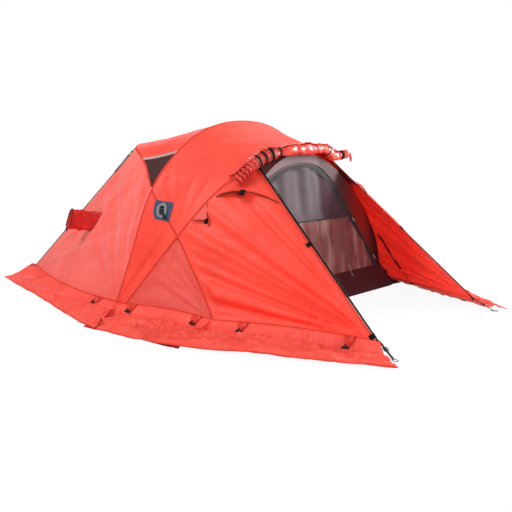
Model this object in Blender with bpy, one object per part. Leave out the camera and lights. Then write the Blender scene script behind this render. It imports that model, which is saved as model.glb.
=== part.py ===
"""Four-season dome tent: three arched poles, an inner tent with a tub floor, and a
flysheet sewn from panels, with a front and a rear porch and snow skirts all round.

Frame: +X is the front, where the open porch is, -Y is the near side, +Z is up.
The origin lies under the floor, on its centre line. Lengths are in metres.
"""
import math

import bmesh
import bpy
import numpy as np

# Poles
POLE_D = 0.009
POLE_BORE = 0.0072
SHOCK_CORD_D = 0.0024
POLE_SIDES = 8
TIP_D = 0.0050
TIP_LENGTH = 0.022
TIP_BALL = 0.0015
TIP_CONE = 0.005
TIP_FLANGE = 0.0045
TIP_FLANGE_STEP = 0.0005
FOOT_Z = 0.026

# Hoop over the middle, pole arch over the front door, long arch to the rear
FOOT_HALF_SPAN = 1.020
HOOP_FOOT_X = -0.240
HOOP_LEAN = 0.160
HOOP_HEIGHT = 1.196
HOOP_SIDE = (0.905, 0.380)
HOOP_BEND = (0.660, 0.930)
HOOP_UPPER = (0.390, 1.125)
BROW_FOOT_X = -0.180
BROW_LEAN = 0.630
BROW_HEIGHT = 1.003
BROW_BEND = (0.666, 0.696)
BROW_UPPER = (0.539, 0.829)
LONG_FOOT_X = 0.590
LONG_FOOT_HALF_SPAN = 0.930
LONG_HEIGHT = 1.050
LONG_TOP_X = -0.850
LONG_LOW_POINT = (0.420, 0.868, 0.176)
LONG_SIDE_POINT = (0.275, 0.834, 0.325)
LONG_BEND_POINT = (-0.285, 0.700, 0.895)
LONG_REAR_POINT = (-0.740, 0.300, 1.046)
SHOULDER_X = -0.550
SHOULDER_HALF_SPAN = 0.570
SHOULDER_HEIGHT = 1.016
DOME_CENTRE_X = -0.10
DOME_HALF_AXES = (1.60, 1.02, 1.20)

# Cloth
CLOTH = 0.0012
SEAM_GAP = 0.0007
TOUCH = 0.0003
POLE_CLEARANCE = 0.0022
HEM_HEIGHT = 0.045

# Porches
FRONT_PEG_X_NEAR = 1.500
FRONT_PEG_Y_NEAR = 0.700
FRONT_PEG_X_FAR = 1.440
FRONT_PEG_Y_FAR = 0.520
PORCH_CORNER_HEIGHT = 0.062
FRONT_ZIP_TOP_Y = 0.395
FRONT_ZIP_TOP_Z = 0.927
REAR_PEG_X = -1.800
REAR_PEG_Y = 0.660

# Inner tent
FLOOR_FRONT_X = 0.640
FLOOR_FRONT_HALF = 0.885
FLOOR_MID_X = -0.210
FLOOR_MID_HALF = 0.970
FLOOR_REAR_X = -1.200
FLOOR_REAR_HALF = 0.600
TUB_HEIGHT = 0.160
TUB_SHEET = 0.0015
TUB_LEAN_SIDE = 0.092
TUB_FALLING_SPLITS = (0, 3)
WALL_FOOT_X = 0.587
WALL_LEAN = 0.137
DOOR_RADIUS = 0.735
DOOR_SPLIT = 0.385
DOOR_LEG_ANGLE = 37.5
DOOR_LEG_REACH = 0.600
DOOR_SHOULDER = 16.0
DOOR_SLIDER_LOW = -0.340
DOOR_SLIDER_HIGH = 0.026
DOOR_SLIDER_ASIDE = 0.004
INNER_DROP = 0.060
CANOPY_TOP_REAR_X = -0.800
CANOPY_TOP_REAR_Z = 0.970

# Zips
ZIP_TAPE_WIDTH = 0.024
ZIP_COIL_D = 0.0032
SLIDER_LENGTH = 0.022
SLIDER_WIDTH = 0.011
SLIDER_HEIGHT = 0.0065
PULL_LENGTH = 0.040
PULL_WIDTH = 0.007

# Snow skirts: where their outer edge lies on the ground, half widths at named places
SKIRT_REAR_X = -2.000
SKIRT_REAR_CORNER_X = -1.760
SKIRT_REAR_CORNER_HALF = 0.960
SKIRT_MID_X = -0.030
SKIRT_MID_HALF = 1.380
SKIRT_SIDE_X = 0.700
SKIRT_SIDE_HALF = 1.310
SKIRT_TIP_X_NEAR = 1.700
SKIRT_TIP_HALF_NEAR = 0.860
SKIRT_TIP_X_FAR = 1.610
SKIRT_TIP_HALF_FAR = 0.620

# Rolled-up door
ROLL_CORE_R = 0.008
ROLL_PITCH = 0.0095
ROLL_TURNS = 3.0
ROLL_CLOTH = 0.0070
ROLL_TIE_WIDTH = 0.018

# Guylines, put away as hanks on their patches
GUY_CORD_D = 0.0025
GUY_LOOPS = 5
GUY_LOOP_LENGTH = 0.092
GUY_LOOP_WIDTH = 0.066
GUY_LOOP_STEP = 0.0036
GUY_LOOP_SQUARENESS = 1.6

# Where the long pole crosses the brow arch and the hoop
CROSS_LOWER_HEIGHT = 0.475
CROSS_LOWER_HALF = 0.793
CROSS_UPPER_HEIGHT = 0.750
CROSS_UPPER_HALF = 0.790
CROSS_LOWER = (BROW_FOOT_X + BROW_LEAN * CROSS_LOWER_HEIGHT, CROSS_LOWER_HALF, CROSS_LOWER_HEIGHT)
CROSS_UPPER = (HOOP_FOOT_X + HOOP_LEAN * CROSS_UPPER_HEIGHT, CROSS_UPPER_HALF, CROSS_UPPER_HEIGHT)
CROSSING_REACH = 0.140
CROSSING_DROP = POLE_D + 0.0010

# Straight steps along each stretch of seam, the same for poles and cloth
STEPS_LOW = 6
STEPS_BETWEEN = 4
STEPS_HOOP_TOP = 9
STEPS_TO_ZIP = 5
STEPS_ZIP_TO_TOP = 4
STEPS_TO_SHOULDER = 5
STEPS_SHOULDER_TO_TOP = 4
CORD_SIDES = 6

# Flysheet panels: how far hems and panels bow, and where they are trimmed
HEM_BOW = 0.018
HEM_LIFT = 0.010
REAR_HEM_BOW = -0.050
REAR_HEM_LIFT = -0.018
FRONT_BULGE = 0.026
FRONT_BULGE_FAR = 0.052
REAR_BULGE = -0.015
SIDE_BULGE = -0.008
POINT_TRIM = 0.30
RIDGE_SAG = 0.012
WINDOW_ROWS = 3
REAR_DOOR_SAG = 0.020

# Zip tapes and sliders in place
HALF_TAPE = ZIP_TAPE_WIDTH / 2.0
TAPE_CLOTH = 0.0010
TAPE_END_GAP = 0.0030
SLIDER_CLEARANCE = 0.0006
FRONT_SLIDER_SHARE = 0.80
REAR_SLIDER_SHARE = 0.965

# Inner tent in detail
TUB_GAP = 0.0005
DOOR_STEPS = 32
WALL_RIM = 0.014
WALL_RIM_AT_FOOT = 0.040
WALL_RIM_AT_TOP = 0.022
INNER_STEPS = 8
CANOPY_STEPS = 4
CANOPY_WAIST = 0.024

# Foot tabs
TAB_THICK = 0.0020
TAB_HEIGHT = 0.0070
TAB_WIDTH = 0.030
TAB_HOLE_R = 0.0029
TAB_BEYOND = 0.014

# Skirt cloth, and the shares of its width at which it turns onto the ground
SKIRT_CLOTH = 0.0012
SKIRT_FALL = 0.22
SKIRT_RUNS = (0.0, 0.10, SKIRT_FALL, 0.60, 1.0)

# Brow hoods and snorkel vent
HOOD_START = 0.51
HOOD_END = 0.955
HOOD_DROP = 0.232
HOOD_ROOT = 0.985
HOOD_ROOT_DROP = 0.016
HOOD_RISE = 0.034
HOOD_CURVE = 1.15
HOOD_STEPS = 8
HOOD_SEAT_NEAR = 0.0024
HOOD_SEAT_FAR = 0.0030
SNORKEL_U = 0.66
SNORKEL_V = 0.50
SNORKEL_HALF_WIDTH = 0.050
SNORKEL_HALF_HEIGHT = 0.104
SNORKEL_LENGTH = 0.190
SNORKEL_RAKE = 0.40
SNORKEL_WALL = 0.0016
SNORKEL_AIM = (-0.80, -0.58, 0.10)
SNORKEL_SIDES = 14
SNORKEL_SEAT = 0.0012

# Roll and its ties in detail
ROLL_STEPS = 12
ROLL_POINTS = 10
ROLL_END_SCALE = 0.72
ROLL_STANDOFF = 0.0006
TIE_THICK = 0.0016
TIE_GAP = 0.0005
TIE_SEGMENT_NEAR = 4
TIE_SEGMENT_FAR = 9

# Guyline patches and peg straps
PATCH_SIZE = 0.120
PATCH_PLACE = 0.450
PATCH_SEAT_NEAR = 0.0014
PATCH_SEAT_FAR = 0.0023
PATCH_POINTS = 4
KEEPER_SIZE = (0.052, 0.016)
GUY_POINTS = 24
HANK_STANDOFF = 0.0095
STRAP_WIDTH = 0.020
STRAP_THICK = 0.0016
STRAP_LENGTH = 0.110
STRAP_START = 0.0016
BUCKLE_SIZE = (0.026, 0.026, 0.006)

# Colours
ALLOY = (0.70, 0.60, 0.35)
ELASTIC = (0.75, 0.10, 0.08)
RED = (0.90, 0.16, 0.10)
RED_DULL = (0.72, 0.14, 0.10)
BLACK = (0.02, 0.02, 0.022)
MESH_GREY = (0.25, 0.25, 0.26)
SLIDER_GREY = (0.10, 0.10, 0.11)
TUB = (0.05, 0.015, 0.03)
INNER_RED = (0.45, 0.28, 0.27)
SKIRT_GREY = (0.72, 0.14, 0.09)
PATCH_BLUE = (0.05, 0.12, 0.26)
CORD_GREY = (0.45, 0.43, 0.38)

# Sides of the tent: the near one has negative Y
NEAR = -1.0
FAR = 1.0


def clear_scene():
    """Remove every object, so that the model starts from nothing."""
    for old in list(bpy.data.objects):
        bpy.data.objects.remove(old, do_unlink=True)


def finish(name, colour, roughness, metallic=0.0):
    """One Principled material: colour, roughness and metallic value."""
    made = bpy.data.materials.new(name)
    made.use_nodes = True
    shader = made.node_tree.nodes["Principled BSDF"]
    shader.inputs["Base Color"].default_value = (*colour, 1.0)
    shader.inputs["Roughness"].default_value = roughness
    shader.inputs["Metallic"].default_value = metallic
    return made


def mesh_of(name, body):
    """Mesh of one closed body, a pair of points and faces, with its faces out."""
    points, faces = body
    mesh = bpy.data.meshes.new(name)
    mesh.from_pydata(np.asarray(points, float).tolist(), [], [tuple(map(int, f)) for f in faces])
    shaped = bmesh.new()
    shaped.from_mesh(mesh)
    bmesh.ops.recalc_face_normals(shaped, faces=shaped.faces)
    shaped.to_mesh(mesh)
    shaped.free()
    return mesh


def add_helper(piece, name, body, operation):
    """Join a second body to a piece, or cut it away, through a Boolean."""
    helper = bpy.data.objects.new(name, mesh_of(name, body))
    bpy.context.scene.collection.objects.link(helper)
    helper.hide_render = True
    helper.display_type = "WIRE"
    step = piece.modifiers.new(name, "BOOLEAN")
    step.operation = operation
    step.solver = "EXACT"
    step.object = helper


def add_piece(name, body, colour, roughness, metallic=0.0, smooth=False, joins=(), cuts=()):
    """One named object from a closed body, with what is joined to it or cut from it."""
    mesh = mesh_of(name, body)
    mesh.materials.append(finish(name + "_finish", colour, roughness, metallic))
    piece = bpy.data.objects.new(name, mesh)
    bpy.context.scene.collection.objects.link(piece)
    for count, other in enumerate(joins):
        add_helper(piece, f"{name}_join_{count}", other, "UNION")
    for count, other in enumerate(cuts):
        add_helper(piece, f"{name}_cut_{count}", other, "DIFFERENCE")
    if smooth:
        mesh.shade_smooth()
        mesh.set_sharp_from_angle(angle=math.radians(40))
    return piece


def unit(vectors):
    """Vectors scaled to a length of one."""
    vectors = np.asarray(vectors, float)
    return vectors / np.maximum(np.linalg.norm(vectors, axis=-1, keepdims=True), 1e-12)


def mirrored(points, side):
    """Points of the far side, or with side NEAR their mirror image."""
    return np.asarray(points, float) * np.array([1.0, side, 1.0])


def outward(points):
    """Outward direction of the dome: the normal of an ellipsoid that it resembles."""
    points = np.asarray(points, float)
    centre = np.array([DOME_CENTRE_X, 0.0, 0.0])
    return unit((points - centre) / np.array(DOME_HALF_AXES) ** 2)


def cubic_through(points):
    """Natural cubic spline through points, as its knots and a function of the knots."""
    points = np.asarray(points, float)
    knots = np.concatenate([[0.0], np.cumsum(np.linalg.norm(np.diff(points, axis=0), axis=1))])
    steps = np.diff(knots)
    count = len(points)
    system = np.zeros((count, count))
    right = np.zeros((count, 3))
    system[0, 0] = 1.0
    system[-1, -1] = 1.0
    for i in range(1, count - 1):
        system[i, i - 1] = steps[i - 1]
        system[i, i] = 2.0 * (steps[i - 1] + steps[i])
        system[i, i + 1] = steps[i]
        rise_after = (points[i + 1] - points[i]) / steps[i]
        rise_before = (points[i] - points[i - 1]) / steps[i - 1]
        right[i] = 6.0 * (rise_after - rise_before)
    bend = np.linalg.solve(system, right)

    def at(places):
        places = np.asarray(places, float)
        i = np.clip(np.searchsorted(knots, places, side="right") - 1, 0, count - 2)
        a = ((knots[i + 1] - places) / steps[i])[:, None]
        b = ((places - knots[i]) / steps[i])[:, None]
        h2 = (steps[i] ** 2 / 6.0)[:, None]
        return (a * points[i] + b * points[i + 1]
                + ((a ** 3 - a) * bend[i] + (b ** 3 - b) * bend[i + 1]) * h2)

    return knots, at


def hoop_arch():
    """Far half of the middle hoop from its foot to its top, in its leaning plane."""
    half = [(FOOT_HALF_SPAN, 0.0), HOOP_SIDE, CROSS_UPPER[1:], HOOP_BEND, HOOP_UPPER,
            (0.0, HOOP_HEIGHT)]
    return [(HOOP_FOOT_X + HOOP_LEAN * z, y, z) for y, z in half]


def brow_arch():
    """Far half of the arch over the front door, from its foot to its top."""
    half = [(FOOT_HALF_SPAN, 0.0), CROSS_LOWER[1:], BROW_BEND, BROW_UPPER,
            (FRONT_ZIP_TOP_Y, FRONT_ZIP_TOP_Z), (0.0, BROW_HEIGHT)]
    return [(BROW_FOOT_X + BROW_LEAN * z, y, z) for y, z in half]


def long_arch():
    """Far half of the long pole, from its foot at the front to its top at the rear."""
    return [(LONG_FOOT_X, LONG_FOOT_HALF_SPAN, 0.0), LONG_LOW_POINT, LONG_SIDE_POINT,
            CROSS_LOWER, CROSS_UPPER, LONG_BEND_POINT,
            (SHOULDER_X, SHOULDER_HALF_SPAN, SHOULDER_HEIGHT), LONG_REAR_POINT,
            (LONG_TOP_X, 0.0, LONG_HEIGHT)]


class Arch:
    """One arch: a smooth curve through its half's points and their mirror image."""

    def __init__(self, half):
        far = [tuple(p) for p in half]
        near = [(x, -y, z) for x, y, z in far[:-1]]
        self.points = far + near[::-1]
        self.count = len(far)
        self.knots, self.at = cubic_through(self.points)

    def place_of_height(self, height):
        """Knot place on the lower part of the far half where the arch has this height."""
        places = np.linspace(self.knots[0], self.knots[2], 400)
        return float(np.interp(height, self.at(places)[:, 2], places))

    def span(self, start, end, steps):
        """Points on the far half from one knot place to another, evenly spread."""
        return self.at(np.linspace(start, end, steps + 1))


HOOP = Arch(hoop_arch())
BROW = Arch(brow_arch())
LONG = Arch(long_arch())

HOOP_LOW = HOOP.span(HOOP.place_of_height(HEM_HEIGHT), HOOP.knots[2], STEPS_LOW)
HOOP_UP = HOOP.span(HOOP.knots[2], HOOP.knots[5], STEPS_HOOP_TOP)
BROW_LOW = BROW.span(BROW.place_of_height(HEM_HEIGHT), BROW.knots[1], STEPS_LOW)
BROW_TO_ZIP = BROW.span(BROW.knots[1], BROW.knots[4], STEPS_TO_ZIP)
BROW_TO_TOP = BROW.span(BROW.knots[4], BROW.knots[5], STEPS_ZIP_TO_TOP)
LONG_LOW = LONG.span(LONG.place_of_height(HEM_HEIGHT), LONG.knots[3], STEPS_LOW)
LONG_BETWEEN = LONG.span(LONG.knots[3], LONG.knots[4], STEPS_BETWEEN)
LONG_TO_SHOULDER = LONG.span(LONG.knots[4], LONG.knots[6], STEPS_TO_SHOULDER)
LONG_TO_TOP = LONG.span(LONG.knots[6], LONG.knots[8], STEPS_SHOULDER_TO_TOP)


def joined(*stretches):
    """Stretches of points end to end, without the doubled points."""
    rows = [stretches[0]]
    for stretch in stretches[1:]:
        rows.append(stretch[1:])
    return np.vstack(rows)


def straight(start, end, steps):
    """Evenly spread points on a straight line."""
    start = np.asarray(start, float)
    end = np.asarray(end, float)
    share = np.linspace(0.0, 1.0, steps + 1)[:, None]
    return start + (end - start) * share


def bowed(start, end, steps, inward, lift):
    """A hem between two anchors: a straight line drawn in and up towards its middle."""
    line = straight(start, end, steps)
    share = np.linspace(0.0, 1.0, steps + 1)
    bow = (4.0 * share * (1.0 - share))[:, None]
    direction = unit(np.cross(line[-1] - line[0], (0.0, 0.0, 1.0)))
    if np.dot(direction, outward(line[len(line) // 2])) > 0.0:
        direction = -direction
    return line + bow * (direction * inward + np.array([0.0, 0.0, lift]))


def patch(bottom, top, left, right, bulge=0.0):
    """Surface held by four edges. Bottom and top run with u, left and right with v.
    It is the sum of the two ruled surfaces less the one through the corners, pushed
    outwards by bulge at its middle."""
    u = np.linspace(0.0, 1.0, len(bottom))[:, None, None]
    v = np.linspace(0.0, 1.0, len(left))[None, :, None]
    across = (1.0 - v) * bottom[:, None] + v * top[:, None]
    along = (1.0 - u) * left[None] + u * right[None]
    corners = ((1.0 - u) * (1.0 - v) * bottom[0] + u * (1.0 - v) * bottom[-1]
               + (1.0 - u) * v * top[0] + u * v * top[-1])
    surface = across + along - corners
    push = 16.0 * u * (1.0 - u) * v * (1.0 - v)
    return surface + push * bulge * outward(surface)


def cut_point(grid, share):
    """Trim a patch whose last row is one point, so that it ends in a short edge."""
    grid = grid.copy()
    grid[:, -1] = grid[:, -1] * (1.0 - share) + grid[:, -2] * share
    return grid


def drawn_in(grid, amount):
    """Pull a grid's border in by an amount on all four sides."""
    grid = np.array(grid, float)
    grid[0] += unit(grid[1] - grid[0]) * amount
    grid[-1] += unit(grid[-2] - grid[-1]) * amount
    grid[:, 0] += unit(grid[:, 1] - grid[:, 0]) * amount
    grid[:, -1] += unit(grid[:, -2] - grid[:, -1]) * amount
    return grid


def normals_of(grid):
    """Unit normals of a grid of points, turned to the outside of the dome."""
    along = np.gradient(grid, axis=0)
    across = np.gradient(grid, axis=1)
    turned = unit(np.cross(along, across))
    sign = np.sign(np.sum(turned * outward(grid)))
    return turned * (sign if sign != 0.0 else 1.0)


def sheet_body(lower, upper):
    """Closed body between two grids of the same size."""
    rows, columns = lower.shape[:2]
    points = np.vstack([lower.reshape(-1, 3), upper.reshape(-1, 3)])
    top = rows * columns
    faces = []
    for i in range(rows - 1):
        for j in range(columns - 1):
            a = i * columns + j
            b = a + columns
            faces.append((a, a + 1, b + 1))
            faces.append((a, b + 1, b))
            faces.append((top + a, top + b + 1, top + a + 1))
            faces.append((top + a, top + b, top + b + 1))
    rim = [j for j in range(columns)]
    rim += [i * columns + columns - 1 for i in range(1, rows)]
    rim += [(rows - 1) * columns + j for j in range(columns - 2, -1, -1)]
    rim += [i * columns for i in range(rows - 2, 0, -1)]
    for start, end in zip(rim, rim[1:] + rim[:1]):
        faces.append((start, top + start, top + end))
        faces.append((start, top + end, end))
    return points, faces


def cloth(grid, thickness=CLOTH, seam=SEAM_GAP):
    """Closed sheet of cloth with the grid at the middle of its thickness."""
    grid = drawn_in(grid, seam / 2.0)
    half = normals_of(grid) * thickness / 2.0
    return sheet_body(grid - half, grid + half)


def laid_on(grid, thickness, clearance=TOUCH):
    """Closed sheet on the outside of the cloth whose middle is the grid."""
    normals = normals_of(grid)
    under = CLOTH / 2.0 + clearance
    return sheet_body(grid + normals * under, grid + normals * (under + thickness))


def path_frames(path, reference):
    """Two cross directions along a path, the first nearest reference."""
    tangents = unit(np.gradient(path, axis=0))
    first = unit(reference - np.sum(reference * tangents, axis=1, keepdims=True) * tangents)
    return first, np.cross(tangents, first)


def rings_along(path, radius, sides, reference):
    """Regular polygons square to a path, mitred so that a chain keeps its width."""
    first, second = path_frames(path, reference)
    turn = np.linspace(0.0, 2.0 * math.pi, sides, endpoint=False) + math.pi / sides
    ring = (np.cos(turn)[None, :, None] * first[:, None]
            + np.sin(turn)[None, :, None] * second[:, None])
    return path[:, None] + ring * radius


def loft_body(rings, inner=None):
    """Closed body through rings of points, with flat ends or with a bore through it."""
    count, sides = rings.shape[:2]
    points = [rings.reshape(-1, 3)]
    faces = []
    for i in range(count - 1):
        for j in range(sides):
            a = i * sides + j
            b = i * sides + (j + 1) % sides
            faces.append((a, b, b + sides))
            faces.append((a, b + sides, a + sides))
    if inner is None:
        for start, flip in ((0, False), ((count - 1) * sides, True)):
            loop = [start + j for j in range(sides)]
            faces.append(tuple(loop if flip else loop[::-1]))
        return np.vstack(points), faces
    offset = count * sides
    points.append(inner.reshape(-1, 3))
    for i in range(count - 1):
        for j in range(sides):
            a = offset + i * sides + j
            b = offset + i * sides + (j + 1) % sides
            faces.append((a, b + sides, b))
            faces.append((a, a + sides, b + sides))
    for start in (0, (count - 1) * sides):
        for j in range(sides):
            a = start + j
            b = start + (j + 1) % sides
            faces.append((a, b, b + offset))
            faces.append((a, b + offset, a + offset))
    return np.vstack(points), faces


def rod(path, radius, sides, reference, bore=None):
    """Solid rod along a path, or a tube if a bore radius is given."""
    path = np.asarray(path, float)
    rings = rings_along(path, radius, sides, reference)
    inner = None if bore is None else rings_along(path, bore, sides, reference)
    return loft_body(rings, inner)


def box_body(centre, directions, sizes):
    """Box with its three edge directions and sizes."""
    centre = np.asarray(centre, float)
    directions = unit(directions)
    corners = []
    for a in (-0.5, 0.5):
        for b in (-0.5, 0.5):
            for c in (-0.5, 0.5):
                shift = (a * sizes[0] * directions[0] + b * sizes[1] * directions[1]
                         + c * sizes[2] * directions[2])
                corners.append(centre + shift)
    faces = [(0, 1, 3, 2), (4, 6, 7, 5), (0, 4, 5, 1), (2, 3, 7, 6), (0, 2, 6, 4), (1, 5, 7, 3)]
    return corners, faces


def prism(outline, direction, depth):
    """Body of a flat outline carried along a direction."""
    outline = np.asarray(outline, float)
    shift = unit(direction) * depth
    count = len(outline)
    points = np.vstack([outline, outline + shift])
    faces = [tuple(range(count))[::-1], tuple(range(count, 2 * count))]
    for i in range(count):
        j = (i + 1) % count
        faces.append((i, j, j + count, i + count))
    return points, faces


# Poles


def bump(path, place, width):
    """One near a place on a path, falling smoothly to nothing over a width."""
    distance = np.linalg.norm(path - np.asarray(place), axis=1)
    return np.exp(-(distance / width) ** 2)[:, None]


def foot_point(arch):
    """Lower end of a pole, standing in its grommet."""
    return arch.at([arch.place_of_height(FOOT_Z)])[0]


def pole_axis(arch, stretches, crossings):
    """Whole pole under its seam, passing below the long pole where they cross."""
    far_half = joined(*stretches)
    path = np.vstack([foot_point(arch)[None], far_half])
    path = np.vstack([path, mirrored(path[-2::-1], -1.0)])
    depth = POLE_D / 2.0 + POLE_CLEARANCE
    drop = np.full((len(path), 1), depth)
    for crossing in crossings:
        for side in (FAR, NEAR):
            drop += bump(path, mirrored(crossing, side), CROSSING_REACH) * CROSSING_DROP
    return path - outward(path) * drop


HOOP_AXIS = pole_axis(HOOP, (HOOP_LOW, HOOP_UP), [CROSS_UPPER])
BROW_AXIS = pole_axis(BROW, (BROW_LOW, BROW_TO_ZIP, BROW_TO_TOP), [CROSS_LOWER])
LONG_AXIS = pole_axis(LONG, (LONG_LOW, LONG_BETWEEN, LONG_TO_SHOULDER, LONG_TO_TOP), [])


def pulled_in(path, amount):
    """A path with both its ends shortened along themselves."""
    path = path.copy()
    path[0] += unit(path[1] - path[0]) * amount
    path[-1] += unit(path[-2] - path[-1]) * amount
    return path


def tip_end(end, inside):
    """Centres and radii of a turned tip: ball, spike, flange on the pole's end, plug."""
    axis = unit(end - inside)
    reach = [TIP_LENGTH, TIP_LENGTH - TIP_BALL, TIP_LENGTH - TIP_CONE, TIP_FLANGE,
             TIP_FLANGE - TIP_FLANGE_STEP, TOUCH]
    radii = [TIP_D * 0.25, TIP_D / 2.0, TIP_D * 0.42, TIP_D * 0.42, POLE_D / 2.0, POLE_D / 2.0]
    return [end + axis * r for r in reach], radii


def cord_body(path):
    """Elastic cord inside a pole, knotted at each end into the pole's tip."""
    first, first_radii = tip_end(path[0], path[1])
    last, last_radii = tip_end(path[-1], path[-2])
    inside = pulled_in(path, -TOUCH / 1.5)
    centres = np.array(first + list(inside) + last[::-1])
    radii = np.array(first_radii + [SHOCK_CORD_D / 2.0] * len(inside) + last_radii[::-1])
    rings = rings_along(centres, 1.0, CORD_SIDES, outward(centres))
    return loft_body(centres[:, None] + (rings - centres[:, None]) * radii[:, None, None])


def add_poles():
    """Three hollow poles, each on its elastic cord, which ends in the pole's two tips."""
    for word, path in (("hoop", HOOP_AXIS), ("brow", BROW_AXIS), ("long", LONG_AXIS)):
        body = rod(path, POLE_D / 2.0, POLE_SIDES, outward(path), POLE_BORE / 2.0)
        add_piece(word + "_pole", body, ALLOY, 0.35, 0.9, smooth=True)
        add_piece(word + "_cord_and_tips", cord_body(path), ELASTIC, 0.6)


# Flysheet


def front_peg(side):
    """Lower front corner of the flysheet on one side."""
    if side == NEAR:
        return np.array([FRONT_PEG_X_NEAR, -FRONT_PEG_Y_NEAR, PORCH_CORNER_HEIGHT])
    return np.array([FRONT_PEG_X_FAR, FRONT_PEG_Y_FAR, PORCH_CORNER_HEIGHT])


def rear_peg(side):
    """Lower rear corner of the flysheet on one side."""
    return np.array([REAR_PEG_X, side * REAR_PEG_Y, PORCH_CORNER_HEIGHT])


def front_hem(side):
    """Hem of the front porch panel, from the long pole's foot to the front corner."""
    start = mirrored(LONG_LOW[0], side)
    return bowed(start, front_peg(side), STEPS_TO_ZIP, HEM_BOW, HEM_LIFT)


def side_hem(side):
    """Hem of the side panel, from the brow arch to the long pole."""
    start = mirrored(BROW_LOW[0], side)
    return bowed(start, mirrored(LONG_LOW[0], side), STEPS_TO_ZIP, HEM_BOW, HEM_LIFT)


def rear_hem(side):
    """Hem of the rear side panel, from the hoop to the rear corner."""
    start = mirrored(HOOP_LOW[0], side)
    return bowed(start, rear_peg(side), STEPS_TO_SHOULDER, REAR_HEM_BOW, REAR_HEM_LIFT)


def door_hem():
    """Hem of the rear porch door, from the far corner to the near one."""
    steps = 2 * STEPS_SHOULDER_TO_TOP
    return bowed(rear_peg(FAR), rear_peg(NEAR), steps, REAR_DOOR_SAG, HEM_LIFT)


def gore_grid(side):
    """Narrow panel between the hoop and the brow arch, below the long pole."""
    hem = straight(HOOP_LOW[0], BROW_LOW[0], STEPS_BETWEEN)
    return mirrored(patch(hem, LONG_BETWEEN[::-1], HOOP_LOW, BROW_LOW), side)


def side_grid(side):
    """Triangle between the brow arch and the long pole's lower end."""
    low = mirrored(BROW_LOW, side)
    right = mirrored(LONG_LOW, side)
    top = np.repeat(low[-1][None], STEPS_TO_ZIP + 1, axis=0)
    return cut_point(patch(side_hem(side), top, low, right, SIDE_BULGE), POINT_TRIM)


def front_grid(side):
    """Porch panel from the long pole and the brow arch to the front zip."""
    arch = mirrored(BROW_TO_ZIP, side)
    zip_edge = straight(front_peg(side), arch[-1], STEPS_LOW)
    bulge = FRONT_BULGE if side == NEAR else FRONT_BULGE_FAR
    return patch(front_hem(side), arch, mirrored(LONG_LOW, side), zip_edge, bulge)


def rear_grid(side):
    """Rear side panel from the hoop and the long pole to the rear zip."""
    arch = mirrored(LONG_TO_SHOULDER, side)
    zip_edge = straight(rear_peg(side), arch[-1], STEPS_LOW)
    return patch(rear_hem(side), arch, mirrored(HOOP_LOW, side), zip_edge, REAR_BULGE)


def ridge(start, end):
    """Seam on the centre line between two arch tops, sagging a little."""
    line = straight(start, end, STEPS_BETWEEN)
    share = np.linspace(0.0, 1.0, STEPS_BETWEEN + 1)
    line[:, 2] -= RIDGE_SAG * 4.0 * share * (1.0 - share)
    return line


def over_the_top(half):
    """A roof panel whole: its far half and the near one, which meet at the ridge."""
    return np.concatenate([half, mirrored(half[:, -2::-1], NEAR)], axis=1)


def roof_front_half(side):
    """Half of the panel between the hoop and the brow arch, from the long pole up."""
    brow = joined(BROW_TO_ZIP, BROW_TO_TOP)
    half = patch(LONG_BETWEEN[::-1], ridge(HOOP_UP[-1], brow[-1]), HOOP_UP, brow)
    return mirrored(half, side)


def roof_front_grid():
    """Roof panel between the hoop and the brow arch, above the long pole."""
    return over_the_top(roof_front_half(FAR))


def roof_rear_half(side):
    """Half of the panel between the long pole and the hoop, from the ridge down."""
    rear = joined(LONG_TO_SHOULDER, LONG_TO_TOP)
    point = np.repeat(HOOP_UP[0][None], STEPS_BETWEEN + 1, axis=0)
    half = patch(ridge(HOOP_UP[-1], rear[-1]), point, HOOP_UP[::-1], rear[::-1])
    return mirrored(cut_point(half, POINT_TRIM), side)


def roof_rear_grid():
    """Roof panel between the long pole and the hoop, as far down as the windows."""
    rows = roof_rear_half(FAR).shape[1] - WINDOW_ROWS
    half = roof_rear_half(FAR)[:, :rows]
    return over_the_top(half[:, ::-1])


def window_grid(side):
    """Mesh window in the lowest corner of the rear roof panel."""
    rows = roof_rear_half(side).shape[1] - WINDOW_ROWS
    return roof_rear_half(side)[:, rows - 1:]


def rear_door_grid():
    """Rear porch door between the two rear zips, under the rear top."""
    far = straight(rear_peg(FAR), LONG_TO_TOP[0], STEPS_LOW)
    near = straight(rear_peg(NEAR), mirrored(LONG_TO_TOP[0], NEAR), STEPS_LOW)
    top = np.vstack([LONG_TO_TOP, mirrored(LONG_TO_TOP[-2::-1], NEAR)])
    return patch(door_hem(), top, far, near, -REAR_DOOR_SAG)


def zip_room(grid, first, last):
    """Draw a panel back at its first or last row, to leave the width of a zip tape."""
    grid = grid.copy()
    room = ZIP_TAPE_WIDTH / 2.0
    if first:
        grid[0] += unit(grid[1] - grid[0]) * room
    if last:
        grid[-1] += unit(grid[-2] - grid[-1]) * room
    return grid


def add_flysheet():
    """Sewn panels of the flysheet, each a sheet of its own."""
    add_piece("fly_roof_front", cloth(roof_front_grid()), RED, 0.55)
    add_piece("fly_roof_rear", cloth(roof_rear_grid()), RED, 0.55)
    add_piece("fly_rear_door", cloth(zip_room(rear_door_grid(), True, True)), RED, 0.55)
    for side, word in SIDES:
        front = zip_room(front_grid(side), False, True)
        rear = zip_room(rear_grid(side), False, True)
        add_piece("fly_gore_" + word, cloth(gore_grid(side)), RED, 0.55)
        add_piece("fly_side_" + word, cloth(side_grid(side)), RED_DULL, 0.55)
        add_piece("fly_front_" + word, cloth(front), RED, 0.55)
        add_piece("fly_rear_" + word, cloth(rear), RED, 0.55)
        add_piece("vent_window_" + word, cloth(window_grid(side)), MESH_GREY, 0.8)


# Zips


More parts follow.
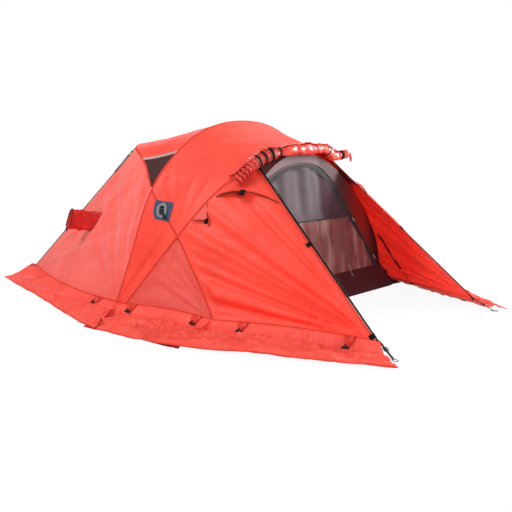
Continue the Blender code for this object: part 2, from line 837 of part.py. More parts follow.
def tape_body(grid, other=None):
    """Zip tape with its coil, along the last row of a panel's grid. With the grid of
    the panel on the other side it is a whole tape, and else the half that stays."""
    line = pulled_in(grid[-1], TAPE_END_GAP)
    inner = unit(grid[-2] - grid[-1])
    run = unit(line[-1] - line[0])
    normal = unit(np.cross(np.broadcast_to(run, inner.shape), inner))
    normal *= np.sign(np.sum(normal * outward(line)))
    outer = -inner if other is None else unit(other)
    reach = ZIP_COIL_D / 2.0 if other is None else HALF_TAPE - SEAM_GAP
    turned = unit(np.cross(outer, np.broadcast_to(run, outer.shape)))
    turned *= np.sign(np.sum(turned * normal, axis=1, keepdims=True))
    half = ZIP_COIL_D / 2.0
    base = TAPE_CLOTH / 2.0
    centre = unit(normal + turned)
    profile = [
        line + inner * (HALF_TAPE - SEAM_GAP) - normal * base,
        line - centre * base,
        line + outer * reach - turned * base,
        line + outer * reach + turned * base,
        line + outer * half + turned * base,
        line + outer * half * 0.7 + turned * (base + ZIP_COIL_D * 0.6),
        line + inner * half * 0.7 + normal * (base + ZIP_COIL_D * 0.6),
        line + inner * half + normal * base,
        line + inner * (HALF_TAPE - SEAM_GAP) + normal * base,
    ]
    if other is None:
        profile.pop(4)
    return loft_body(np.stack(profile, axis=1))


def zip_frame(grid, share, other=None):
    """Place on a zip, its direction, and the direction away from the cloth there."""
    line = grid[-1]
    row = share * (len(line) - 1)
    i = min(int(row), len(line) - 2)
    spot = line[i] + (line[i + 1] - line[i]) * (row - i)
    run = unit(line[-1] - line[0])
    inner = unit(grid[-2] - line)
    across = unit(inner.mean(axis=0)) if other is None else unit((inner - unit(other)).mean(axis=0))
    normal = np.cross(run, across)
    normal = unit(normal * np.sign(np.dot(normal, outward(spot))))
    return spot, run, normal


def slider_body(spot, run, normal):
    """Zip slider over its coil: a wedge-shaped body, its bridge and a hanging pull."""
    across = np.cross(normal, run)
    over = TAPE_CLOTH / 2.0 + ZIP_COIL_D * 0.6 + SLIDER_CLEARANCE
    base = spot + normal * over
    half_l = SLIDER_LENGTH / 2.0
    half_w = SLIDER_WIDTH / 2.0
    plan = [(-half_l, -half_w * 0.6), (-half_l * 0.2, -half_w), (half_l * 0.7, -half_w),
            (half_l, -half_w * 0.3), (half_l, half_w * 0.3), (half_l * 0.7, half_w),
            (-half_l * 0.2, half_w), (-half_l, half_w * 0.6)]
    outline = [base + run * x + across * y for x, y in plan]
    body = prism(outline, normal, SLIDER_HEIGHT)
    pull_start = base + normal * (SLIDER_HEIGHT * 0.62) - run * half_l * 0.4
    centre = pull_start - run * PULL_LENGTH / 2.0
    pull = box_body(centre, [run, across, normal], [PULL_LENGTH, PULL_WIDTH, 0.0022])
    return body, pull


def add_zips():
    """Front zips, of which the half that the panels hold stays, rear zips and sliders."""
    door = rear_door_grid()
    for side, word in SIDES:
        front = front_grid(side)
        add_piece("front_zip_" + word, tape_body(front), BLACK, 0.6)
        body, pull = slider_body(*zip_frame(front, FRONT_SLIDER_SHARE))
        name = "front_zip_slider_" + word
        add_piece(name, body, SLIDER_GREY, 0.35, 0.8, joins=[pull])
        rear = rear_grid(side)
        inner = door[1] - door[0] if side == FAR else door[-2] - door[-1]
        add_piece("rear_zip_" + word, tape_body(rear, inner), BLACK, 0.6)
        body, pull = slider_body(*zip_frame(rear, REAR_SLIDER_SHARE, inner))
        name = "rear_zip_slider_" + word
        add_piece(name, body, SLIDER_GREY, 0.35, 0.8, joins=[pull])


# Inner tent


def tub_loop(height, wall):
    """Corners of the tub at a height, its sides leaning in, less the wall's thickness."""
    lean = TUB_LEAN_SIDE * height / TUB_HEIGHT
    front_top = WALL_FOOT_X - WALL_LEAN * TUB_HEIGHT
    front = FLOOR_FRONT_X + (front_top - FLOOR_FRONT_X) * height / TUB_HEIGHT - wall
    rear = FLOOR_REAR_X + lean + wall
    corners = [(front, FLOOR_FRONT_HALF - lean - wall), (FLOOR_MID_X, FLOOR_MID_HALF - lean - wall),
               (rear, FLOOR_REAR_HALF - lean - wall)]
    far = [(x, y, height) for x, y in corners]
    near = [(x, -y, height) for x, y in corners[::-1]]
    return np.array(far + near)


def tub_body():
    """Waterproof floor with its walls turned up, open at the top. The walls twist, so
    the outer and inner faces of each are split along the same diagonal."""
    loops = [tub_loop(0.0, 0.0), tub_loop(TUB_HEIGHT, 0.0), tub_loop(TUB_HEIGHT, TUB_SHEET)]
    loops.append(tub_loop(TUB_SHEET, TUB_SHEET))
    sides = len(loops[0])
    points = np.vstack(loops)
    faces = [tuple(range(sides))[::-1], tuple(range(3 * sides, 4 * sides))]
    for ring in range(3):
        for j in range(sides):
            low, next_low = ring * sides + j, ring * sides + (j + 1) % sides
            top, next_top = low + sides, next_low + sides
            if ring == 1:
                faces.append((low, next_low, next_top, top))
            elif (j in TUB_FALLING_SPLITS) == (ring == 0):
                faces += [(low, next_low, top), (next_low, next_top, top)]
            else:
                faces += [(low, next_low, next_top), (low, next_top, top)]
    return points, faces


def wall_point(y, s):
    """Point of the leaning front wall, y across and s up its slope from the door's base."""
    base_z = TUB_HEIGHT + TUB_GAP
    up = unit(np.array([-WALL_LEAN, 0.0, 1.0]))
    base = np.array([WALL_FOOT_X - WALL_LEAN * base_z, 0.0, base_z])
    y = np.asarray(y, float)
    s = np.asarray(s, float)
    return base + y[..., None] * np.array([0.0, 1.0, 0.0]) + s[..., None] * up


def door_radius(angle):
    """Radius of the door's zip: a circle, cut on its far side by a straight leg, with a
    soft shoulder between them. The inverses of both radii are joined as a power mean."""
    angle = np.asarray(angle, float)
    leg = np.clip(np.cos(angle - math.radians(DOOR_LEG_ANGLE)), 0.0, None) / DOOR_LEG_REACH
    return (DOOR_RADIUS ** -DOOR_SHOULDER + leg ** DOOR_SHOULDER) ** (-1.0 / DOOR_SHOULDER)


def wall_outline(angle):
    """Outline of the front wall: the door's circle and a rim, wider at foot and top."""
    rim = (WALL_RIM + WALL_RIM_AT_FOOT * np.abs(np.cos(angle)) ** 6
           + WALL_RIM_AT_TOP * np.sin(angle) ** 6)
    reach = DOOR_RADIUS + rim
    return reach * np.cos(angle), reach * np.sin(angle)


def front_wall_grid():
    """Front wall of the inner tent: the band between its outline and the door's zip."""
    angle = np.linspace(0.0, math.pi, DOOR_STEPS + 1)
    y_out, s_out = wall_outline(angle)
    y_in = door_radius(angle) * np.cos(angle)
    s_in = door_radius(angle) * np.sin(angle)
    rows = [wall_point(y_in + (y_out - y_in) * k, s_in + (s_out - s_in) * k) for k in (0.0, 1.0)]
    return np.stack(rows, axis=1)


def door_reach(angle):
    """Radius of the door itself at a corner of the wall's straight facets."""
    return door_radius(angle) - 2.0 * TOUCH


def door_rows(s):
    """Door from its near to its far edge, at heights up its slope."""
    angle = np.linspace(0.0, math.pi / 2.0, DOOR_STEPS // 2 + 1)
    near, far = [np.interp(s, door_reach(turn) * np.sin(turn), door_reach(turn) * np.cos(turn))
                 for turn in (math.pi - angle, angle)]
    share = np.linspace(0.0, 1.0, 9)[:, None]
    y = near[None] * (1.0 - share) + far[None] * share
    return wall_point(y, np.broadcast_to(s, y.shape))


def door_lower_grid():
    """Cloth lower part of the inner door, up to its straight seam."""
    return door_rows(np.linspace(0.0, DOOR_SPLIT, 9))


def door_mesh_grid():
    """Mesh upper part of the inner door, from the seam to the top of the curve."""
    top = door_reach(math.pi / 2.0)
    angle = np.linspace(math.asin(DOOR_SPLIT / top), math.radians(87.0), 10)
    return door_rows(top * np.sin(angle))


def door_leg(place, beside=0.0):
    """Point of the door's straight leg, from its middle up it and beside it outwards."""
    turn = math.radians(DOOR_LEG_ANGLE)
    out = DOOR_LEG_REACH + beside
    return wall_point(out * math.cos(turn) - place * math.sin(turn),
                      out * math.sin(turn) + place * math.cos(turn))


def canopy_hoop_half():
    """Far half of the inner tent under the hoop, from the tub to the top."""
    whole = HOOP.span(HOOP.place_of_height(TUB_HEIGHT), HOOP.knots[5], INNER_STEPS)
    line = whole - outward(whole) * INNER_DROP
    tub = tub_loop(TUB_HEIGHT, 0.0)[1]
    line[0] = tub + np.array([0.0, 0.0, TUB_GAP])
    return line


def canopy_front_half():
    """Far half of the inner tent's front edge, along the front wall's outline."""
    y, s = wall_outline(np.linspace(0.0, math.pi / 2.0, INNER_STEPS + 1))
    line = wall_point(y, s)
    return line - np.array([CLOTH + TOUCH, 0.0, 0.0])


def canopy_rear_half():
    """Far half of the inner tent's rear edge, under the top of the long pole."""
    tub = tub_loop(TUB_HEIGHT, 0.0)
    share = (FLOOR_MID_X - CANOPY_TOP_REAR_X) / (FLOOR_MID_X - tub[2][0])
    foot = tub[1] + (tub[2] - tub[1]) * share
    points = [foot + np.array([0.0, 0.0, TUB_GAP]), (CANOPY_TOP_REAR_X + 0.09, 0.600, 0.580),
              (CANOPY_TOP_REAR_X + 0.15, 0.480, 0.870),
              (CANOPY_TOP_REAR_X + 0.04, 0.200, 0.962),
              (CANOPY_TOP_REAR_X, 0.0, CANOPY_TOP_REAR_Z)]
    knots, at = cubic_through(points)
    return at(np.linspace(knots[0], knots[-1], INNER_STEPS + 1))


def canopy_grid():
    """Inner tent's roof and sides in one, from the far tub edge over to the near one."""
    front = canopy_front_half()
    hoop = canopy_hoop_half()
    rear = canopy_rear_half()
    half = np.concatenate([between(front, hoop, CANOPY_WAIST), between(hoop, rear, 0.0)[1:]])
    return over_the_top(half)


def between(first, second, waist):
    """Stretch of canopy between two of its arches, drawn in by a waist at its middle."""
    bottom = straight(first[0], second[0], CANOPY_STEPS)
    top = straight(first[-1], second[-1], CANOPY_STEPS)
    return patch(bottom, top, first, second, -waist)


def inner_rear_grid():
    """Rear wall of the inner tent, from its rear arch down to the tub."""
    half = canopy_rear_half()
    arch = np.vstack([half, mirrored(half[-2::-1], NEAR)])
    arch = arch - np.array([SEAM_GAP + CLOTH, 0.0, 0.0])
    corner = tub_loop(TUB_HEIGHT, 0.0)[2] + np.array([0.0, 0.0, TUB_GAP])
    low = np.vstack([straight(arch[0], corner, 4), straight(corner, corner * [1, 0, 1], 4)[1:]])
    low = np.vstack([low, mirrored(low[-2::-1], NEAR)])
    share = np.linspace(0.0, 1.0, 7)[None, :, None]
    wall = low[:, None] * (1.0 - share) + arch[:, None] * share
    wall[0] = wall[0] * 0.7 + wall[1] * 0.3
    wall[-1] = wall[-1] * 0.7 + wall[-2] * 0.3
    return wall


def door_slider_body(place):
    """Slider on the straight leg of the inner door's zip, on the wall's side of it."""
    spot = door_leg(place, SLIDER_WIDTH / 2.0 + DOOR_SLIDER_ASIDE)
    run = unit(door_leg(1.0) - door_leg(0.0))
    normal = unit(np.array([1.0, 0.0, WALL_LEAN]))
    seat = spot - normal * (ZIP_COIL_D * 0.6 + SLIDER_CLEARANCE - CLOTH / 2.0 - TOUCH
                            + TAPE_CLOTH / 2.0)
    return slider_body(seat, run, normal)


def add_inner_tent():
    """Tub floor, walls, canopy, and the door with its two sliders."""
    add_piece("floor_tub", tub_body(), TUB, 0.6)
    add_piece("inner_front_wall", cloth(front_wall_grid(), seam=0.0), INNER_RED, 0.7)
    add_piece("inner_canopy", cloth(canopy_grid(), seam=0.0), INNER_RED, 0.7)
    add_piece("inner_rear_wall", cloth(inner_rear_grid()), INNER_RED, 0.7)
    add_piece("inner_door_cloth", cloth(door_lower_grid()), INNER_RED, 0.7)
    add_piece("inner_door_mesh", cloth(door_mesh_grid()), MESH_GREY, 0.8)
    for word, place in (("low", DOOR_SLIDER_LOW), ("high", DOOR_SLIDER_HIGH)):
        body, pull = door_slider_body(place)
        name = "inner_door_slider_" + word
        add_piece(name, body, SLIDER_GREY, 0.35, 0.8, joins=[pull])


# Foot tabs


def tip_place(path, first):
    """Centre line of a pole's tip where it goes through its tab."""
    end, inside = (path[0], path[1]) if first else (path[-1], path[-2])
    axis = unit(end - inside)
    height = TAB_HEIGHT + TAB_THICK / 2.0
    return end + axis * ((height - end[2]) / axis[2]), axis


def drill(place, axis):
    """Cutter for a tip's hole, along the tip."""
    ends = np.array([place - axis * 0.02, place, place + axis * 0.02])
    return rod(ends, TAB_HOLE_R, 12, np.broadcast_to([1.0, 0.1, 0.0], ends.shape))


def tab_body(inner, outer, width):
    """Flat webbing tab from the tub's wall out past a pole's foot, its end clipped."""
    run = unit(outer - inner)
    across = np.cross((0.0, 0.0, 1.0), run)
    end = outer + run * TAB_BEYOND
    half = width / 2.0
    clip = half * 0.45
    outline = [inner - across * half, end - run * clip - across * half, end - across * (half - clip),
               end + across * (half - clip), end - run * clip + across * half, inner + across * half]
    return prism(outline, (0.0, 0.0, 1.0), TAB_THICK)


def add_foot_tabs():
    """Webbing tabs at the tub's corners with the holes that the poles' tips stand in."""
    for side, word in SIDES:
        first = side == FAR
        hoop, hoop_axis = tip_place(HOOP_AXIS, first)
        brow, brow_axis = tip_place(BROW_AXIS, first)
        long_tip, long_axis = tip_place(LONG_AXIS, first)
        level = np.array([0.0, 0.0, TAB_HEIGHT])
        wall = tub_loop(TAB_HEIGHT, 0.0)
        middle = (hoop + brow) / 2.0 * [1, 1, 0] + level
        start = mirrored(wall[1], side) * [0, 1, 0] + middle * [1, 0, 1]
        start = start + np.array([0.0, side * TUB_GAP, 0.0])
        width = abs(hoop[0] - brow[0]) + TAB_WIDTH
        cuts = [drill(hoop, hoop_axis), drill(brow, brow_axis)]
        add_piece("middle_foot_tab_" + word, tab_body(start, middle, width), BLACK, 0.8, cuts=cuts)
        foot = long_tip * [1, 1, 0] + level
        corner = mirrored(wall[0], side)
        along = unit(mirrored(wall[1], side) - corner)
        away = np.array([-along[1], along[0], 0.0])
        away *= np.sign(np.dot(away, foot - corner))
        start = corner + along * np.dot(foot - corner, along) + away * TUB_GAP
        add_piece("front_foot_tab_" + word, tab_body(start, foot, TAB_WIDTH), BLACK, 0.8,
                  cuts=[drill(long_tip, long_axis)])


# Snow skirts


def ground(x, y):
    """Point of a skirt's outer edge, at the middle of its cloth."""
    return np.array([x, y, SKIRT_CLOTH / 2.0])


def skirt_grid(hem, outer_start, outer_end):
    """Skirt sewn along a hem, which falls to the ground and lies out to its edge."""
    top = np.array(hem, float)
    edge = straight(outer_start, outer_end, len(top) - 1)
    rows = []
    for run in SKIRT_RUNS:
        row = top + (edge - top) * run
        row[:, 2] = SKIRT_CLOTH / 2.0 + (top[:, 2] - SKIRT_CLOTH / 2.0) * max(0.0, 1.0 - run / SKIRT_FALL)
        rows.append(row)
    return np.stack(rows, axis=1)


def skirt_edges(side):
    """Outer corners of one side's skirts, from the rear to the front tip."""
    tip_x, tip_half = (SKIRT_TIP_X_NEAR, SKIRT_TIP_HALF_NEAR)
    if side == FAR:
        tip_x, tip_half = (SKIRT_TIP_X_FAR, SKIRT_TIP_HALF_FAR)
    return [ground(SKIRT_REAR_CORNER_X, side * SKIRT_REAR_CORNER_HALF),
            ground(SKIRT_MID_X, side * SKIRT_MID_HALF),
            ground(SKIRT_SIDE_X, side * SKIRT_SIDE_HALF),
            ground(tip_x, side * tip_half)]


def add_skirts():
    """Skirts on the ground, one to each length of hem."""
    for side, word in SIDES:
        rear_edge, mid_edge, side_edge, tip = skirt_edges(side)
        middle = np.vstack([mirrored(HOOP_LOW[0], side)[None], side_hem(side)])
        hems = (("rear", rear_hem(side)[::-1], rear_edge, mid_edge),
                ("side", middle, mid_edge, side_edge),
                ("front", front_hem(side), side_edge, tip))
        for place, hem, start, end in hems:
            grid = skirt_grid(hem, start, end)
            add_piece(f"skirt_{place}_{word}", cloth(grid, SKIRT_CLOTH), SKIRT_GREY, 0.6)
    door = skirt_grid(door_hem(), ground(SKIRT_REAR_X, REAR_PEG_Y), ground(SKIRT_REAR_X, -REAR_PEG_Y))
    add_piece("skirt_rear_door", cloth(door, SKIRT_CLOTH), SKIRT_GREY, 0.6)


# Vents


def sampled(grid, u, v):
    """Points of a surface at places u and v, read between its grid's points."""
    rows, columns = grid.shape[:2]
    u = np.clip(np.asarray(u, float), 0.0, 1.0) * (rows - 1)
    v = np.clip(np.asarray(v, float), 0.0, 1.0) * (columns - 1)
    i = np.minimum(u.astype(int), rows - 2)
    j = np.minimum(v.astype(int), columns - 2)
    fu = (u - i)[..., None]
    fv = (v - j)[..., None]
    return ((1 - fu) * (1 - fv) * grid[i, j] + fu * (1 - fv) * grid[i + 1, j]
            + (1 - fu) * fv * grid[i, j + 1] + fu * fv * grid[i + 1, j + 1])


def hood_grid(side):
    """Hood over the brow vent: from its root under the arch out to a raised lip."""
    front = front_grid(side)
    s = np.linspace(0.0, 1.0, HOOD_STEPS + 1)[:, None]
    t = np.linspace(0.0, 1.0, 5)[None, :]
    u = np.broadcast_to(HOOD_START + (HOOD_END - HOOD_START) * s, (HOOD_STEPS + 1, 5))
    v = HOOD_ROOT - t * (HOOD_ROOT_DROP + HOOD_DROP * s ** HOOD_CURVE)
    surface = sampled(front, u, v)
    seat = HOOD_SEAT_NEAR if side == NEAR else HOOD_SEAT_FAR
    rise = CLOTH + seat + HOOD_RISE * (t ** 1.2 * np.sin(math.pi * s) ** 0.8)
    return surface + normals_of(surface) * rise[..., None]


def snorkel_body():
    """Cloth tube of the rear vent, open at its mouth, standing off the rear panel."""
    rear = rear_grid(NEAR)
    turn = np.linspace(0.0, 2.0 * math.pi, SNORKEL_SIDES, endpoint=False)
    size = np.linalg.norm(rear[0, 0] - rear[-1, 0])
    height = np.linalg.norm(rear[-1, 0] - rear[-1, -1])
    aim = unit(np.array(SNORKEL_AIM))

    def root(shrink):
        u = SNORKEL_U + (SNORKEL_HALF_WIDTH - shrink) / size * np.cos(turn)
        v = SNORKEL_V + (SNORKEL_HALF_HEIGHT - shrink) / height * np.sin(turn)
        return sampled(rear, u, v) + outward(rear[4, 3]) * (CLOTH / 2.0 + SNORKEL_SEAT)

    outer_root = root(0.0)
    inner_root = root(SNORKEL_WALL)
    outer = []
    inner = []
    for share, width in ((0.0, 1.0), (0.35, 0.92), (0.75, 0.97), (1.0, 1.04)):
        for ring, base in ((outer, outer_root), (inner, inner_root)):
            centre = base.mean(axis=0)
            reach = SNORKEL_LENGTH + SNORKEL_RAKE * (base - centre)[:, 2:]
            ring.append(centre + (base - centre) * width + aim * reach * share)
    return loft_body(np.array(outer), np.array(inner))


def add_vents():
    """Hoods over the brow vents and the snorkel vent on the near rear panel."""
    for side, word in SIDES:
        add_piece("brow_hood_" + word, cloth(hood_grid(side), seam=0.0), RED, 0.55)
    add_piece("snorkel_vent", snorkel_body(), RED, 0.55)


# Rolled-up front door


def roll_radius():
    """Outer radius of the rolled-up door."""
    return ROLL_CORE_R + ROLL_PITCH * ROLL_TURNS + ROLL_CLOTH / 2.0


def roll_line():
    """Curve of the roll: over the near hood, before the brow arch, its far end standing out."""
    top = BROW_TO_TOP[-1]
    zip_top = BROW_TO_TOP[0]
    between_them = BROW_TO_TOP[STEPS_ZIP_TO_TOP // 2]
    stand = roll_radius() + ROLL_STANDOFF
    points = [top + (-0.040, -0.600, -0.184),
              top + (0.004, -0.490, -0.098),
              mirrored(zip_top, NEAR) + np.array([1.08, 0.0, 0.45]) * stand,
              mirrored(between_them, NEAR) + np.array([1.08, 0.0, 0.15]) * stand,
              top + np.array([1.08, 0.0, -0.05]) * stand,
              between_them + np.array([1.12, 0.0, 0.25]) * stand,
              zip_top + (0.0, -0.070, 0.0) + np.array([1.45, 0.0, 0.80]) * stand,
              zip_top + (0.0, 0.060, 0.0) + np.array([2.00, 0.0, 1.10]) * stand]
    return cubic_through(points)


ROLL_KNOTS, ROLL_AT = roll_line()


def roll_path(places):
    """Centre line of the roll at shares of its length from its near end."""
    return ROLL_AT(ROLL_KNOTS[-1] * np.asarray(places, float))


def roll_frames():
    """Stations of the roll: centres, two cross directions, and how wide it is there."""
    path = roll_path(np.linspace(0.0, 1.0, ROLL_STEPS + 1))
    first, second = path_frames(path, outward(path))
    share = np.linspace(-1.0, 1.0, ROLL_STEPS + 1)
    scale = 1.0 - (1.0 - ROLL_END_SCALE) * np.abs(share) ** 4
    return path, first, second, scale


def roll_rings(turn, radius):
    """Points at these angles and radii round every station of the roll."""
    path, first, second, scale = roll_frames()
    ring = (first[:, None] * (radius * np.cos(turn))[None, :, None]
            + second[:, None] * (radius * np.sin(turn))[None, :, None])
    return path[:, None] + ring * scale[:, None, None]


def roll_body():
    """Door cloth rolled up: a thick sheet wound into a spiral, drawn in at both ends."""
    count = int(ROLL_TURNS * ROLL_POINTS) + 1
    turn = np.linspace(0.0, 2.0 * math.pi * ROLL_TURNS, count)
    middle = ROLL_CORE_R + ROLL_PITCH * turn / (2.0 * math.pi)
    radius = np.concatenate([middle + ROLL_CLOTH / 2.0, (middle - ROLL_CLOTH / 2.0)[::-1]])
    return loft_body(roll_rings(np.concatenate([turn, turn[::-1]]), radius))


def tie_body(segment):
    """Webbing band round the roll's last turn, in the middle of one of its segments."""
    turn = 2.0 * math.pi * (ROLL_TURNS - 1.0 + np.arange(1, ROLL_POINTS + 1) / ROLL_POINTS)
    radius = ROLL_CORE_R + ROLL_PITCH * turn / (2.0 * math.pi) + ROLL_CLOTH / 2.0
    rings = roll_rings(turn, radius)[segment:segment + 2]
    centres = roll_frames()[0][segment:segment + 2, None]
    half = ROLL_TIE_WIDTH / 2.0 / np.linalg.norm(centres[1] - centres[0])
    bands = []
    for height in (TIE_GAP + TIE_THICK, TIE_GAP):
        raised = rings + unit(rings - centres) * height
        bands.append(np.array([raised[0] + (raised[1] - raised[0]) * f
                               for f in (0.5 - half, 0.5 + half)]))
    return loft_body(*bands)


def add_roll():
    """The front door, rolled up, and its two ties."""
    add_piece("rolled_door", roll_body(), RED, 0.45)
    add_piece("roll_tie_near", tie_body(TIE_SEGMENT_NEAR), BLACK, 0.7)
    add_piece("roll_tie_far", tie_body(TIE_SEGMENT_FAR), BLACK, 0.7)


# Guylines on their patches, and the straps that go to the pegs


def patch_grid(side):
    """Reinforcing patch across the long pole's seam, where the guyline is fixed."""
    gore = gore_grid(side)
    roof = roof_front_half(side)
    seam = gore[:, -1]
    along = np.linalg.norm(seam[-1] - seam[0])
    u = np.linspace(-0.5, 0.5, PATCH_POINTS) * PATCH_SIZE / along + PATCH_PLACE
    down = PATCH_SIZE * 0.5 / np.linalg.norm(gore[2, 0] - gore[2, -1])
    up = PATCH_SIZE * 0.5 / (np.linalg.norm(roof[2, 1] - roof[2, 0]) * (roof.shape[1] - 1))
    level = np.ones(PATCH_POINTS)
    rows = [sampled(gore, u, level - down), sampled(gore, u, level - down / 2.0),
            sampled(gore, u, level), sampled(roof, u, level * up / 2.0),
            sampled(roof, u, level * up)]
    return np.stack(rows, axis=1)


def patch_seat(side):
    """Gap under the patch: the roof's facets stand higher under the far one."""
    return PATCH_SEAT_NEAR if side == NEAR else PATCH_SEAT_FAR


def patch_frame(side):
    """Middle of the patch on its seam, and the directions across, up and away from it."""
    grid = patch_grid(side)
    normal = unit(normals_of(grid).reshape(-1, 3).mean(axis=0))
    up = unit(np.cross(np.cross(normal, (0.0, 0.0, 1.0)), normal))
    return grid[:, 2].mean(axis=0), np.cross(normal, up), up, normal


def hank_path(side):
    """Guyline wound into a flat hank: a racetrack spiral that grows by a step a loop."""
    centre, across, up, normal = patch_frame(side)
    turn = np.linspace(0.0, 2.0 * math.pi * GUY_LOOPS, GUY_POINTS * GUY_LOOPS + 1)
    grow = GUY_LOOP_STEP * turn / (2.0 * math.pi)
    half_width = GUY_LOOP_WIDTH / 2.0 - GUY_LOOP_STEP * (GUY_LOOPS - 0.5) + grow
    straight_half = GUY_LOOP_LENGTH / 2.0 - GUY_LOOP_WIDTH / 2.0
    x = half_width * np.sin(turn)
    y = half_width * np.cos(turn) + straight_half * np.clip(GUY_LOOP_SQUARENESS * np.cos(turn), -1.0, 1.0)
    spot = centre + normal * HANK_STANDOFF
    return spot + across * x[:, None] + up * y[:, None]


def keeper_body(side):
    """Padded webbing keeper on the patch, which the hank lies on."""
    centre, across, up, normal = patch_frame(side)
    low = CLOTH + patch_seat(side)
    high = HANK_STANDOFF - GUY_CORD_D / 2.0 - TOUCH
    middle = centre + normal * (low + high) / 2.0
    return box_body(middle, [across, up, normal], [*KEEPER_SIZE, high - low])


def least_self_gap(path, diameter):
    """Least gap between a tube and itself, past its own next few points."""
    reach = 6
    gaps = np.linalg.norm(path[:, None] - path[None], axis=2)
    index = np.arange(len(path))
    apart = np.abs(index[:, None] - index[None]) > reach
    return float(gaps[apart].min() - diameter)


def add_cord(name, path, diameter, colour):
    """Cord as a poly curve with a round bevel and closed ends."""
    curve = bpy.data.curves.new(name, "CURVE")
    curve.dimensions = "3D"
    curve.bevel_depth = diameter / 2.0
    curve.bevel_resolution = 1
    curve.use_fill_caps = True
    spline = curve.splines.new("POLY")
    spline.points.add(len(path) - 1)
    for point, place in zip(spline.points, path):
        point.co = (*place, 1.0)
    curve.materials.append(finish(name + "_finish", colour, 0.8))
    piece = bpy.data.objects.new(name, curve)
    bpy.context.scene.collection.objects.link(piece)
    return piece


def strap_body(corner, side, toward):
    """Webbing strap from a corner of the flysheet down to its peg, and its buckle."""
    run = unit(np.array([toward, side * 0.35, 0.0]))
    across = np.array([-run[1], run[0], 0.0]) * STRAP_WIDTH / 2.0
    start = corner + run * STRAP_START
    end = corner + run * STRAP_LENGTH
    end[2] = STRAP_THICK / 2.0 + TOUCH
    line = straight(start, end, 4)
    strap = cloth(np.stack([line - across, line + across], axis=1), STRAP_THICK, 0.0)
    slope = unit(end - start)
    level = unit(across)
    buckle = box_body(start + (end - start) * 0.42, [slope, level, np.cross(slope, level)],
                      BUCKLE_SIZE)
    return strap, buckle


def add_guylines_and_straps():
    """Guyline patches and hanks, and the four peg straps."""
    for side, word in SIDES:
        patch_cloth = laid_on(patch_grid(side), CLOTH, patch_seat(side))
        add_piece("guy_patch_" + word, patch_cloth, PATCH_BLUE, 0.8, joins=[keeper_body(side)])
        path = hank_path(side)
        add_cord("guyline_hank_" + word, path, GUY_CORD_D, CORD_GREY)
        gap = least_self_gap(path, GUY_CORD_D)
        length = np.linalg.norm(np.diff(path, axis=0), axis=1).sum()
        print(f"guyline_hank_{word}: {length:.3f} m, least gap to itself {gap * 1000:.2f} mm")
        strap, buckle = strap_body(front_peg(side), side, 1.0)
        add_piece("front_peg_strap_" + word, strap, BLACK, 0.8, joins=[buckle])
        strap, buckle = strap_body(rear_peg(side), side, -1.0)
        add_piece("rear_peg_strap_" + word, strap, BLACK, 0.8, joins=[buckle])


SIDES = ((NEAR, "near"), (FAR, "far"))

clear_scene()
add_poles()
add_flysheet()
add_zips()
add_inner_tent()
add_foot_tabs()
add_skirts()
add_vents()
add_roll()
add_guylines_and_straps()
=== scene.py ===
"""Dressed model of a four-season dome tent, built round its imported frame.

+X is the front, where the open porch is, -Y is the near side and +Z is up, in metres.
Every cloth surface is a grid of points between the seams that the poles carry. A side
panel's first index, u, runs along its hem, and its second, v, from the hem up.
"""
import math

import bmesh
import bpy
import numpy as np
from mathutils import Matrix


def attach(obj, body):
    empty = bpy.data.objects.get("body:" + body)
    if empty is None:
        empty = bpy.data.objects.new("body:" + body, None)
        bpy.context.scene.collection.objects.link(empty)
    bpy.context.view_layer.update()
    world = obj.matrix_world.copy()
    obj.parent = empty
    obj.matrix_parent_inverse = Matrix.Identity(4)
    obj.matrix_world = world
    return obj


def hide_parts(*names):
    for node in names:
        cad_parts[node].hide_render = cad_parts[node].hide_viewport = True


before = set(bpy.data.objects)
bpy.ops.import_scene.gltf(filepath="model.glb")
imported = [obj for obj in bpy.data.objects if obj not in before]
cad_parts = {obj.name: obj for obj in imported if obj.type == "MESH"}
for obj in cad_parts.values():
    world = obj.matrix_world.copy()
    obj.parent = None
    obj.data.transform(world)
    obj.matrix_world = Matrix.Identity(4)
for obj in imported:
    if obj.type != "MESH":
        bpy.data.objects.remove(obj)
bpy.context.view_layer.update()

CAMERA_AT = (3.20, -3.48, 1.00)
CAMERA_AZIMUTH = 132.2
CAMERA_PITCH = -9.0
CAMERA_LENS = 47.3


def add_camera():
    """Camera at the photograph's place, looking a little down."""
    data = bpy.data.cameras.new("camera")
    data.lens = CAMERA_LENS
    eye = bpy.data.objects.new("camera", data)
    eye.location = CAMERA_AT
    eye.rotation_euler = (math.radians(90.0 + CAMERA_PITCH), 0.0, math.radians(CAMERA_AZIMUTH - 90.0))
    bpy.context.scene.collection.objects.link(eye)
    bpy.context.scene.camera = eye


add_camera()

NEAR = -1.0
FAR = 1.0
SIDES = ((NEAR, "near"), (FAR, "far"))
POLES = ("hoop_pole", "brow_pole", "long_pole")

# Poles: places (y, z) on each arch's far half, in a plane where x is a foot plus a lean by z

HOOP_PLANE = (-0.240, 0.160)
BROW_PLANE = (-0.180, 0.630)
CROSS_LOWER = (0.793, 0.475)
CROSS_UPPER = (0.790, 0.750)
HOOP_HALF = ((1.020, 0.0), (0.905, 0.380), CROSS_UPPER, (0.660, 0.930), (0.390, 1.125), (0.0, 1.196))
BROW_HALF = ((1.020, 0.0), CROSS_LOWER, (0.666, 0.696), (0.539, 0.829), (0.395, 0.927), (0.0, 1.003))
LONG_FRONT = ((0.590, 0.930, 0.0), (0.420, 0.868, 0.176), (0.275, 0.834, 0.325))
LONG_REAR = ((-0.285, 0.700, 0.895), (-0.550, 0.570, 1.016), (-0.740, 0.300, 1.046), (-0.850, 0.0, 1.050))
DOME_CENTRE = (-0.10, 0.0, 0.0)
DOME_HALF_AXES = (1.60, 1.02, 1.20)

# Flysheet: pegs, hems as how far they bow in and up, and how far panels bulge

